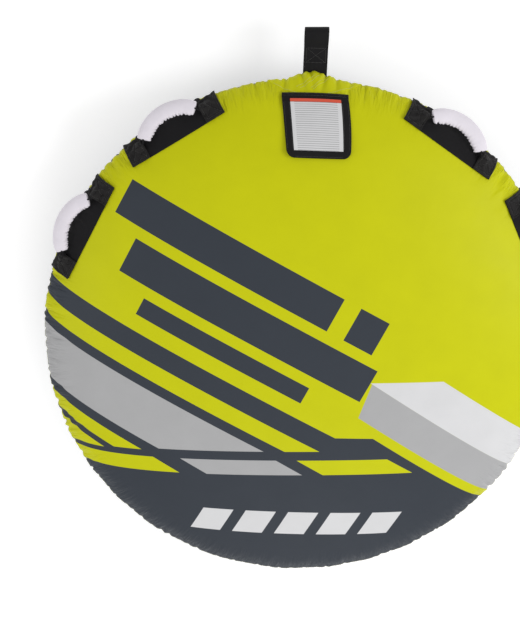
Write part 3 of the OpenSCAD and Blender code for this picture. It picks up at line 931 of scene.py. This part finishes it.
def make_strap():
    """Doubled webbing from inside the seam to a sewn eye, as one continuous loop."""
    y0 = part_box("tow_anchor")[0][1]
    eye_y = STRAP_HIGH[1] - EYE_R - STRAP_T
    half = STRAP_T * 0.5 + 0.1 * MM
    join = 26 * MM                                # where the two layers part for the eye
    middle = EYE_R + STRAP_T / 2
    line = [(y0, half)] + [(y, half) for y in np.linspace(y0 + 4 * MM, eye_y - middle - join, 40)]
    for t in np.linspace(0, 1, 16)[1:]:
        y = eye_y - middle - join + t * (join + middle * 0.35)
        line.append((y, half + (middle * 0.94 - half) * (3 * t * t - 2 * t ** 3)))
    for a in np.radians(np.linspace(108, 0, 22)):
        line.append((eye_y + middle * math.cos(a), middle * math.sin(a)))
    upper = np.array(line)
    lower = upper[::-1][1:] * np.array([1, -1])
    loop = np.vstack([upper, lower])
    step = np.gradient(loop, axis=0)
    step /= np.linalg.norm(step, axis=1)[:, None]
    normal = np.stack([-step[:, 1], step[:, 0]], -1)
    along = run_length(loop)
    skew = 2.4 * MM                               # the eye's edge runs a little askew

    def place(L, X, G):
        y = np.interp(L, along, loop[:, 0]) + G * np.interp(L, along, normal[:, 0])
        z = np.interp(L, along, loop[:, 1]) + G * np.interp(L, along, normal[:, 1])
        lean = skew * X / STRAP_W * np.clip((y - STRAP_HINGE.y) / (eye_y - STRAP_HINGE.y), 0, 1)
        return np.stack([X, y + lean, RIM_Z + z], -1)

    xs = with_edges((-STRAP_W / 2, STRAP_W / 2), 1.4 * MM, 26)
    obj = slab("tow_webbing", along, xs, place, -STRAP_T / 2, STRAP_T / 2, [MATS["web"]], edge=1.3 * MM)
    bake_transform(obj)
    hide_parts("tow_strap", "tow_anchor")
    lines = []
    y_a, y_b = STRAP_HINGE.y + 18 * MM, eye_y - middle - join + 2 * MM
    w = STRAP_W / 2 - 6 * MM
    z = RIM_Z + 2 * half + 0.2 * MM
    box = [(-w, y_a), (w, y_a), (w, y_b), (-w, y_b), (-w, y_a)]
    cross = [[(-w, y_a), (w, y_b)], [(w, y_a), (-w, y_b)]]
    for corners in [box] + cross:
        for a, b in zip(corners, corners[1:]):
            ends = np.array([(a[0], a[1], z), (b[0], b[1], z)])
            t = np.linspace(0, 1, 30)[:, None]
            path = ends[0] * (1 - t) + ends[1] * t
            lines.append((path, np.array([0, 0, 1.0])))
            lines.append((path * [1, 1, -1] + [0, 0, 2 * RIM_Z], np.array([0, 0, -1.0])))
    stitches("stitches_tow_webbing", lines, MATS["thread_dark"], "strap", "webbing",
             pitch=3.6 * MM, length=2.8 * MM)


# ---------------------------------------------------------------- flap, label and valve
FLAP_W = 168 * MM
FLAP_T = 2.5 * MM
FLAP_ROUND = 20 * MM                          # radius of its free corners
FLAP_DRIFT = 13 * MM                          # how far its free end lies to one side


def flap_place(U, V, G):
    """Point of the flap: U to the right, V from its sewn edge towards the tube's middle. Its free
    end hangs a little to one side, and its border stands off the cover."""
    t = np.clip(V / FLAP_L, 0, 1)
    side = U / (FLAP_W / 2)
    curl = MM * (5.0 * t ** 2.5 + 3.2 * np.clip(-side, 0, 1) ** 2 * t + 1.4 * np.clip(side, 0, 1) ** 2 * t)
    wave = 0.9 * MM * np.sin(U * 42 + V * 26) * np.clip(V / (30 * MM), 0, 1)
    y = plan_r(TOP_ARC - FLAP_FROM_RIM - V)
    bow = 3.5 * MM * np.clip(side, 0, 1) ** 2 * np.sin(math.pi * t)
    U2 = U * (1 - 0.05 * t) + FLAP_DRIFT * t + bow
    arch = 2.5 * MM * (1 - side ** 2) * (1 - t)
    return from_plan(U2, y + arch, G + curl + wave)


def rounded_outline(U, V, half_w, high, radius):
    """Draws a rectangle's far corners in to a radius, by narrowing the grid towards its end."""
    k = np.clip((V - (high - radius)) / radius, 0, 1)
    inset = radius * (1 - np.sqrt(np.clip(1 - k ** 2, 0, 1)))
    return U * (half_w - inset) / half_w


def flap_sheet(name, half_w, v0, v1, g0, g1, mats, radius=0.0, edge=1.1 * MM, counts=(60, 56)):
    u = with_edges((-half_w, half_w), edge, counts[0])
    v = with_edges((v0, v1), edge, counts[1])

    def place(U, V, G):
        W = rounded_outline(U, V, half_w, v1, radius) if radius else U
        return flap_place(W, V, G)

    return slab(name, u, v, place, g0, g1, mats, edge=edge)


def make_flap():
    lift = 1.0 * MM
    hem = 12 * MM
    panel = flap_sheet("valve_flap_panel", FLAP_W / 2, -hem, FLAP_L, 0.5 * MM, lift + FLAP_T, [MATS["web"]],
                       radius=FLAP_ROUND)
    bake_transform(panel)
    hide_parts("valve_flap", "flap_hem")
    base = lift + FLAP_T
    side_w = 20 * MM

    def binding_high(U, V):
        to_side = FLAP_W / 2 - np.abs(U)
        to_end = FLAP_L - V
        inside = np.minimum(np.minimum(to_side, to_end), 40 * MM)
        k = np.clip(inside / side_w, 0, 1)
        puff = 1.5 * MM * np.sqrt(np.clip(1 - (2 * k - 1) ** 2, 0, 1))
        return base + 0.4 * MM + np.where(inside < side_w, puff, 0.0)

    half = FLAP_W / 2 - side_w
    u = np.concatenate([np.linspace(-FLAP_W / 2, -FLAP_W / 2 + side_w, 14),
                        np.linspace(-FLAP_W / 2 + side_w + 4 * MM, FLAP_W / 2 - side_w - 4 * MM, 30),
                        np.linspace(FLAP_W / 2 - side_w, FLAP_W / 2, 14)])
    v = np.concatenate([np.linspace(hem, FLAP_L - side_w, 40),
                        np.linspace(FLAP_L - side_w + 2 * MM, FLAP_L, 14)])

    def place(U, V, G):
        W = rounded_outline(U, V, FLAP_W / 2, FLAP_L, FLAP_ROUND)
        return flap_place(W, V, G)

    binding = slab("flap_binding_tape", u, v, place, base - 0.6 * MM, binding_high, [MATS["web"]],
                   edge=1.0 * MM)
    attach(binding, "flap", "webbing", "flap_binding")
    film = base + 1.0 * MM
    label = flap_sheet("label_film", half, 13 * MM, FLAP_L - side_w * 0.85, film - 0.6 * MM, film,
                       [MATS["label"]], edge=0.4 * MM)
    attach(label, "flap", "label", "flap_label")
    band = flap_sheet("label_band", half, 4.5 * MM, 12.6 * MM, film - 0.6 * MM, film + 0.05 * MM,
                      [MATS["band"]], edge=0.4 * MM, counts=(40, 6))
    attach(band, "flap", "label_band", "flap_label_band")
    lines = []
    edge_in = 4 * MM
    for sx in (-1, 1):
        v_line = np.linspace(14 * MM, FLAP_L - 22 * MM, 60)
        lines.append(flap_line(sx * (FLAP_W / 2 - edge_in) + 0 * v_line, v_line, base + 1.3 * MM))
        lines.append(flap_line(sx * (half + 2.5 * MM) + 0 * v_line, v_line, base + 1.5 * MM))
    u_line = np.linspace(-FLAP_W / 2 + 22 * MM, FLAP_W / 2 - 22 * MM, 60)
    lines.append(flap_line(u_line, 0 * u_line + FLAP_L - edge_in, base + 1.3 * MM))
    stitches("stitches_flap", lines, MATS["thread_dark"], "flap", "webbing", pitch=3.6 * MM, length=2.7 * MM)
    u_line = np.linspace(-FLAP_W / 2 + 4 * MM, FLAP_W / 2 - 4 * MM, 60)
    hem_lines = [flap_line(u_line, 0 * u_line - d, base + 0.15 * MM) for d in (4 * MM, 9 * MM)]
    stitches("stitches_flap_hem", hem_lines, MATS["thread_dark"], "tube", "webbing",
             pitch=3.6 * MM, length=2.7 * MM)


def flap_line(u, v, g):
    path = flap_place(u, v, g + 0 * u)
    return path, flap_place(u, v, 0.01 + g + 0 * u) - path


def make_valve():
    """The bladder's valve: a welded flange, a threaded neck and a ribbed screw cap."""
    base, up = valve_frame()
    pocket = 27.5 * MM
    foot = base - up * pocket
    r = 9 * MM
    neck = [(r, 0), (29 * MM, 0), (29 * MM, 2.2 * MM), (28 * MM, 3 * MM), (15.5 * MM, 3 * MM),
            (14 * MM, 4 * MM)]
    for k in range(4):
        z = (5 + 1.7 * k) * MM
        neck += [(13.2 * MM, z), (14 * MM, z + 0.5 * MM), (14 * MM, z + 0.9 * MM), (13.2 * MM, z + 1.4 * MM)]
    neck += [(13.0 * MM, 12 * MM), (r, 12 * MM), (r, 0)]
    body = lathe("valve_body", neck, foot, up, [MATS["plastic"]])
    attach(body, "tube", "valve", "valve_base")
    seat = foot + up * 12.3 * MM
    rim = 16.5 * MM
    profile = [(0.01 * MM, 0), (rim, 0), (rim, 3.4 * MM), (rim - 1 * MM, 4.4 * MM), (9.4 * MM, 4.5 * MM),
               (9.2 * MM, 8.2 * MM), (8.2 * MM, 9 * MM), (0.01 * MM, 9 * MM)]
    cap = lathe("valve_screw_cap", profile, seat, up, [MATS["plastic"]], steps=72)
    for vert in cap.data.vertices:
        rel = vert.co - Vector(seat)
        high = rel.dot(up)
        flat = rel - up * high
        if flat.length > rim - 0.2 * MM:
            a = math.atan2(flat.cross(Vector((1, 0, 0))).dot(up), flat.x)
            vert.co += flat.normalized() * (-0.7 * MM if int(round(a / (2 * math.pi) * 72)) % 3 == 0 else 0.0)
    attach(cap, "tube", "valve", "valve_cap")
    a = np.linspace(0, 1, 24)
    side = Vector((1, 0, 0))
    leash = [foot + up * (3.6 + 9.5 * math.sin(math.pi * t * 0.5)) * MM + side * (27 - 10.2 * t) * MM
             for t in a]
    strip = tube("valve_leash", leash, 1.6 * MM, [MATS["plastic"]], sides=10, flat=0.5,
                 normals=np.tile(np.array(up), (len(a), 1)))
    attach(strip, "tube", "valve")


# ---------------------------------------------------------------- handles
PAD_L = 270 * MM
PAD_W = 61 * MM
PAD_FROM_RIM = 96 * MM
TAB_L = 52 * MM
GUARD_FROM_RIM = 9 * MM                       # from the pad's guard to the seam, along the cover
GRIP_SPAN = 170 * MM
GRIP_RISE = 42 * MM
GRIP_W = 40 * MM
GRIP_T = 23 * MM
GRIP_REST = math.radians(22)
HINGE_SHARE = 0.57                            # where the grips hinge, as a share of the pad's width
ARCH_R = (GRIP_SPAN ** 2 / 4 + GRIP_RISE ** 2) / (2 * GRIP_RISE)
ARCH_A = math.asin(GRIP_SPAN / 2 / ARCH_R)


def handle_frames(name):
    """The handle's azimuth turn, its hinge point, and the arch's outward and upward directions."""
    joint = JOINTS["grip_" + name + "_hinge"]
    pos = np.array(joint["pos_m"])
    along = np.array(joint["axis"])
    outward_dir = np.array([pos[0], pos[1], 0]) / math.hypot(pos[0], pos[1])
    hinge_s = TOP_ARC - (PAD_FROM_RIM - PAD_W * HINGE_SHARE)
    nr = np.interp(hinge_s, TOP["arc"], TOP["nr"])
    nz = np.interp(hinge_s, TOP["arc"], TOP["nz"])
    slope = math.atan2(nr, nz) - GRIP_REST
    out = outward_dir * math.cos(slope) - np.array([0, 0, 1]) * math.sin(slope)
    up = outward_dir * math.sin(slope) + np.array([0, 0, 1]) * math.cos(slope)
    return pos, along, outward_dir, out, up


def pad_place(along, outward_dir):
    """Places pad coordinates: U along the pad, V from its inner edge out towards the rim."""
    def place(U, V, G):
        y = plan_r(TOP_ARC - PAD_FROM_RIM + V)
        x_plan = U * along[0] + y * outward_dir[0]
        y_plan = U * along[1] + y * outward_dir[1]
        return from_plan(x_plan, y_plan, G)
    return place


def make_handle(name, seed):
    pos, along, outward_dir, out, up = handle_frames(name)
    place = pad_place(along, outward_dir)
    rng = np.random.default_rng(seed)
    body = "handle_" + name

    def guarded(U, V, G):
        """Between the tabs the pad runs on under the knuckles, down to the rim seam."""
        free = PAD_L / 2 - TAB_L
        k = np.clip((free + 15 * MM - np.abs(U)) / (5 * MM), 0, 1)
        chord = plan_r(TOP_ARC - PAD_FROM_RIM + PAD_W)
        y_rim = np.sqrt(plan_r(TOP_ARC - GUARD_FROM_RIM) ** 2 - U ** 2)
        y_in = plan_r(TOP_ARC - PAD_FROM_RIM)
        y = plan_r(TOP_ARC - PAD_FROM_RIM + V)
        grown = y_in + (y - y_in) * (y_rim - y_in) / (chord - y_in)
        y = y + (np.maximum(grown, y) - y) * k
        R = np.hypot(U, y)
        d_rim = TOP_ARC - np.interp(R, TOP["r"], TOP["arc"])
        theta = math.atan2(outward_dir[1], outward_dir[0]) - np.arctan2(U, y)
        lift = np.maximum(relief("top", d_rim, theta), 0)
        return from_plan(U * along[0] + y * outward_dir[0], U * along[1] + y * outward_dir[1], G + lift)

    free = PAD_L / 2 - TAB_L + 16 * MM
    us = np.concatenate([with_edges((-PAD_L / 2, -free - 2 * MM), 1.4 * MM, 8)[:-1],
                         np.linspace(-free - 2 * MM, free + 2 * MM, 84),
                         with_edges((free + 2 * MM, PAD_L / 2), 1.4 * MM, 8)[1:]])
    pad = slab("pad_webbing_" + name, us, with_edges((0, PAD_W), 1.4 * MM, 34), guarded, 0.2 * MM,
               lambda U, V: 3.4 * MM + 0.35 * MM * np.sin(U * 70 + seed), [MATS["web"]], edge=1.3 * MM)
    attach(pad, "tube", "webbing", "pad_" + name)
    make_tabs(name, place, rng)
    make_grip(name, pos, along, out, up, body, rng)


def make_tabs(name, place, rng):
    """A quilted tab at each end of the pad, sewn down over the end of the grip's webbing."""
    lines = []
    hinge_v = PAD_W * HINGE_SHARE
    for side in (-1, 1):
        u_in, u_out = PAD_L / 2 - TAB_L, PAD_L / 2 + 0.6 * MM
        edges = (u_in, u_out) if side > 0 else (-u_out, -u_in)
        bumps = rng.uniform(-1, 1, (6, 4))

        def high(U, V, side=side, bumps=bumps):
            s = (np.abs(U) - u_in) / TAB_L
            t = V / PAD_W
            quilt = 0.0
            for k, (a, b, c, _) in enumerate(bumps):
                quilt = quilt + 0.45 * MM * np.sin((13 + 9 * a) * s + (15 + 9 * b) * t + 6 * c + k)
            frame_line = np.minimum.reduce([s, 1 - s, t, 1 - t]) * 52 * MM
            seam = np.exp(-((frame_line - 6 * MM) / (1.6 * MM)) ** 2)
            diag = np.minimum(np.abs(s - t), np.abs(s - (1 - t)))
            cross = np.exp(-(diag * 52 * MM / (2.0 * MM)) ** 2) * (frame_line > 6 * MM)
            hump = 17 * MM * np.exp(-((V - hinge_v) / (10.5 * MM)) ** 4)
            hump = hump * (1 - 1 / (1 + np.exp(-(s - 0.42) * 13)))
            return 8.0 * MM + quilt - 2.2 * MM * np.maximum(seam, cross) + hump

        u = with_edges(edges, 1.6 * MM, 40)
        v = with_edges((-0.6 * MM, PAD_W + 0.6 * MM), 1.6 * MM, 44)
        tab = slab("tab_%s_%s" % (name, "a" if side < 0 else "b"), u, v, place, 3.0 * MM, high,
                   [MATS["quilt"]], edge=1.6 * MM)
        attach(tab, "tube", "webbing")
        if side < 0:
            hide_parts("tabs_" + name)
        inset = 6 * MM
        corners = [(u_in + inset, inset), (u_out - inset, inset), (u_out - inset, PAD_W - inset),
                   (u_in + inset, PAD_W - inset), (u_in + inset, inset)]
        runs = list(zip(corners, corners[1:])) + [(corners[0], corners[2]), (corners[1], corners[3])]
        for a, b in runs:
            t = np.linspace(0, 1, 40)
            uu = side * (a[0] + (b[0] - a[0]) * t)
            vv = a[1] + (b[1] - a[1]) * t
            g = high(uu, vv) + 0.1 * MM
            path = place(uu, vv, g)
            lines.append((path, place(uu, vv, g + 0.01) - path))
    stitches("stitches_tabs_" + name, lines, MATS["thread_dark"], "tube", "webbing",
             pitch=3.4 * MM, length=2.6 * MM)


def make_grip(name, pos, along, out, up, body, rng):
    """The padded sleeve, gathered on its inner side, and the webbing that runs through it."""
    half_a = ARCH_A - math.radians(6.5)
    phi = np.linspace(-half_a, half_a, 190)
    around = 48
    ring = np.linspace(0, 2 * math.pi, around, endpoint=False)
    P, Q = np.meshgrid(phi, ring, indexing="ij")
    end = np.clip((half_a - np.abs(P)) / math.radians(16), 0, 1)
    taper = 0.84 + 0.16 * np.sin(end * math.pi / 2) ** 0.8
    close = 0.3 + 0.7 * np.sqrt(np.clip(1 - (1 - np.clip(end * 9, 0, 1)) ** 2, 0, 1))
    inner_side = np.clip(-np.cos(Q), 0, 1)
    crimps = np.zeros_like(P)
    count = 34
    places = rng.uniform(-1, 1, count) * half_a
    sizes = rng.uniform(0.8, 2.8, count)
    widths = rng.uniform(0.008, 0.020, count)
    for at, size, width in zip(places, sizes, widths):
        crimps += size * np.exp(-((P - at) / width) ** 2)
    crimps = np.minimum(crimps, 3.6) * MM
    folds = 0.7 * MM * np.sin(P * 60 + 3 * np.sin(Q) + rng.uniform(0, 6)) * (0.25 + inner_side)
    half_w = GRIP_W / 2 * taper - crimps * inner_side ** 1.3 - folds
    half_t = GRIP_T / 2 * (0.62 + 0.38 * np.sin(end * math.pi / 2))
    oval = 1 / (np.abs(np.cos(Q)) ** 2.3 + np.abs(np.sin(Q)) ** 2.3) ** (1 / 2.3)
    rad = half_w * np.cos(Q) * oval * close
    lift = half_t * np.sin(Q) * oval * close
    centre = GRIP_RISE - ARCH_R
    x = (ARCH_R + rad) * np.sin(P)
    y = centre + (ARCH_R + rad) * np.cos(P)
    points = pos + x[..., None] * along + y[..., None] * out + lift[..., None] * up
    faces = grid_faces(len(phi), around, wrap=True)
    faces.append(tuple(range(around))[::-1])
    faces.append(tuple((len(phi) - 1) * around + k for k in range(around)))
    uv = np.stack([(P * ARCH_R).ravel(), (Q * GRIP_W / 2).ravel()], -1)
    sleeve = make_piece("grip_sleeve_" + name, points.reshape(-1, 3), faces, uv, mats=[MATS["grip"]])
    outward(sleeve)
    attach(sleeve, body, "grip", "grip_" + name)
    make_grip_web(name, pos, along, out, up)


def make_grip_web(name, pos, along, out, up):
    """The grip's webbing: flat along the arch, turned down into the tab at both ends."""
    web_w, web_t = 24 * MM, 4 * MM
    centre = GRIP_RISE - ARCH_R
    a = np.linspace(-ARCH_A, ARCH_A, 90)
    x = ARCH_R * np.sin(a)
    y = centre + ARCH_R * np.cos(a)
    tail = np.linspace(20 * MM, 2 * MM, 6)
    x = np.concatenate([x[0] - tail, x, x[-1] + tail[::-1]])
    y = np.concatenate([0 * tail, y, 0 * tail])
    path = np.stack([x, y], -1)
    step = np.gradient(path, axis=0)
    step /= np.linalg.norm(step, axis=1)[:, None]
    normal = np.stack([-step[:, 1], step[:, 0]], -1)
    length = run_length(path)

    def place(L, W, G):
        px = np.interp(L, length, path[:, 0]) + G * np.interp(L, length, normal[:, 0])
        py = np.interp(L, length, path[:, 1]) + G * np.interp(L, length, normal[:, 1])
        return pos + px[..., None] * along + py[..., None] * out + W[..., None] * up

    squeeze = web_w / 2 * 0.62
    web = slab("grip_webbing_" + name, length, with_edges((-squeeze, squeeze), 1.0 * MM, 10), place,
               -web_t / 2, web_t / 2, [MATS["web"]], edge=1.0 * MM)
    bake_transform(web)
    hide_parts("web_" + name)


# ---------------------------------------------------------------- underside
ZIP_FROM_RIM = 150 * MM
ZIP_L = 620 * MM
ZIP_W = 30 * MM


def low_place(U, V, G):
    """Point of the lower dome behind the tube's middle: U along the zip, V across it."""
    r = np.interp(LOW_ARC - ZIP_FROM_RIM, LOW["arc"], LOW["r"])
    theta = -math.pi / 2 + U / r
    s = LOW_ARC - ZIP_FROM_RIM + V
    return on_dome(LOW, s, theta, G + relief("low", LOW_ARC - s, theta) * 0.5)


def make_zip():
    half_l, half_w = ZIP_L / 2, ZIP_W / 2
    along = with_edges((-half_l, half_l), 1 * MM, 150)
    across = with_edges((-half_w, half_w), 1 * MM, 14)
    tape = slab("zip_tape_cloth", along, across, low_place, 0.2 * MM,
                lambda U, V: 1.5 * MM + 0.15 * MM * np.sin(U * 60), [MATS["piping"]], edge=0.9 * MM)
    attach(tape, "tube", "webbing", "zip_tape")
    verts, faces = [], []
    pitch = 2.6 * MM
    for u in np.arange(-half_l + 8 * MM, half_l - 8 * MM, pitch):
        for side in (-1, 1):
            shift = pitch / 2 if side > 0 else 0.0
            lo_v, hi_v = (-0.8 * MM, 3.5 * MM) if side > 0 else (-3.5 * MM, 0.8 * MM)
            corners = []
            for g, inset in ((1.4 * MM, 0.0), (2.5 * MM, 0.12 * MM), (3.0 * MM, 0.5 * MM)):
                half = 0.62 * MM * (1 - inset / (1.0 * MM))
                near_v, far_v = lo_v + inset, hi_v - inset
                for du, v in ((-half, near_v), (half, near_v), (half, far_v), (-half, far_v)):
                    corners.append(low_place(np.array(u + shift + du), np.array(v), np.array(g)))
            start = len(verts)
            verts += corners
            for ring in (0, 4):
                p = start + ring
                for j in range(4):
                    faces.append((p + j, p + (j + 1) % 4, p + 4 + (j + 1) % 4, p + 4 + j))
            faces.append((start + 3, start + 2, start + 1, start))
            faces.append((start + 8, start + 9, start + 10, start + 11))
    teeth = make_piece("zip_teeth", verts, faces, np.zeros((len(verts), 2)), mats=[MATS["coil"]],
                       smooth=False)
    outward(teeth)
    attach(teeth, "tube", "zip_coil", "zip_coil")
    lines = []
    u = np.linspace(-half_l + 3 * MM, half_l - 3 * MM, 200)
    for v in (-half_w + 3 * MM, half_w - 3 * MM):
        path = low_place(u, 0 * u + v, 0 * u + 1.75 * MM)
        lines.append((path, low_place(u, 0 * u + v, 0 * u + 0.05) - path))
    stitches("stitches_zip", lines, MATS["thread_grey"], "tube", "webbing")
    bpy.context.view_layer.update()
    slider = frame["nodes"]["zip_slider"]
    dress(slider, MATS["metal"])


def make_drains():
    """Turned grommets that keep the place and size of the CAD ones."""
    verts = np.array([v.co for v in frame["nodes"]["drain_grommets"].data.vertices])
    first = None
    for k, (sx, sy) in enumerate(((1, 1), (-1, 1), (-1, -1), (1, -1))):
        part = verts[(np.sign(verts[:, 0]) == sx) & (np.sign(verts[:, 1]) == sy)]
        centre = part.mean(0)
        s = np.interp(math.hypot(centre[0], centre[1]), LOW["r"], LOW["arc"])
        theta = math.atan2(centre[1], centre[0])
        base = Vector(on_dome(LOW, s, theta, 0.3 * MM))
        up = (Vector(on_dome(LOW, s, theta, 1.0)) - base).normalized()
        r0, r1, t = 7 * MM, 14 * MM, 2.2 * MM
        arc = [(0.5 * (r0 + r1) + 0.5 * (r1 - r0) * math.cos(a), t * math.sin(a))
               for a in np.linspace(0, math.pi, 14)]
        profile = [(r1, 0)] + arc[1:-1] + [(r0, 0), (r0 - 0.8 * MM, -3 * MM), (r0, -3.4 * MM), (r1, 0)]
        ring = lathe("drain_ring_%d" % (k + 1), profile, base, up, [MATS["metal"]], steps=48)
        attach(ring, "tube", "grommet")
        first = first or ring
        # painted shade: a black disc in each ring stands for the dark open hole, in the zip coil's plastic
        disc = [(0.05 * MM, -0.2 * MM), (r0, -0.2 * MM), (r0, -1.2 * MM), (0.05 * MM, -1.2 * MM)]
        hole_shade_disc = lathe("drain_hole_painted_shade_%d" % (k + 1), disc, base, up, [MATS["coil"]], steps=32)
        attach(hole_shade_disc, "tube", "grommet")
    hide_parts("drain_grommets")


def dress(node, mat):
    """Gives a carried-over CAD node its material."""
    node.data.materials.clear()
    node.data.materials.append(mat)


# ---------------------------------------------------------------- room
FLOOR_HALF = 14
FLOOR_GLOW = 0.42
ROOM_LIGHT = 0.58
LIGHTS = (("key", (2.9, 0.5, 2.6), 1.8, 56),        # name, place, size in metres, power in watts
          ("front", (0.4, -3.0, 2.8), 2.6, 34),
          ("fill", (-3.0, -0.6, 2.4), 2.4, 26))


def make_room():
    """A plain pale floor and soft studio light."""
    size = FLOOR_HALF
    verts = [(-size, -size, 0), (size, -size, 0), (size, size, 0), (-size, size, 0)]
    sh = Shader("floor_paint", Roughness=0.9)
    mottle = sh.ramp(sh.noise(1.5, 2.0, sh.object_place()), 0.995, 1.0)
    sh.colour(sh.scale_colour((0.80, 0.80, 0.80), mottle))
    sh.bsdf.inputs["Emission Color"].default_value = (1.0, 1.0, 1.0, 1.0)
    sh.bsdf.inputs["Emission Strength"].default_value = FLOOR_GLOW
    floor = make_piece("floor", verts, [(0, 1, 2, 3)], mats=[sh.mat])
    world = bpy.data.worlds.new("studio")
    bpy.context.scene.world = world
    world.use_nodes = True
    background = world.node_tree.nodes["Background"]
    background.inputs[0].default_value = (1.0, 1.0, 1.0, 1)
    background.inputs[1].default_value = ROOM_LIGHT
    for name, place, size, power in LIGHTS:
        light = bpy.data.lights.new(name, "AREA")
        light.shape = "DISK"
        light.size = size
        light.energy = power
        obj = bpy.data.objects.new(name, light)
        obj.location = place
        obj.rotation_euler = (Vector((0, 0, 0.1)) - Vector(place)).to_track_quat("-Z", "Y").to_euler()
        bpy.context.collection.objects.link(obj)


make_camera()
make_materials()
make_cover()
make_bladder()
make_piping()
seam_stitches()
make_nose("nose_upper", TOP, "top", TOP_ARC, "tow_nose_upper", MATS["yellow"], "cover_top")
make_nose("nose_lower", LOW, "low", LOW_ARC, "tow_nose_lower", MATS["dark"], "cover_bottom")
make_strap()
make_flap()
make_valve()
for number, handle in enumerate(HANDLES):
    make_handle(handle, 10 + number)
make_zip()
make_drains()
make_room()
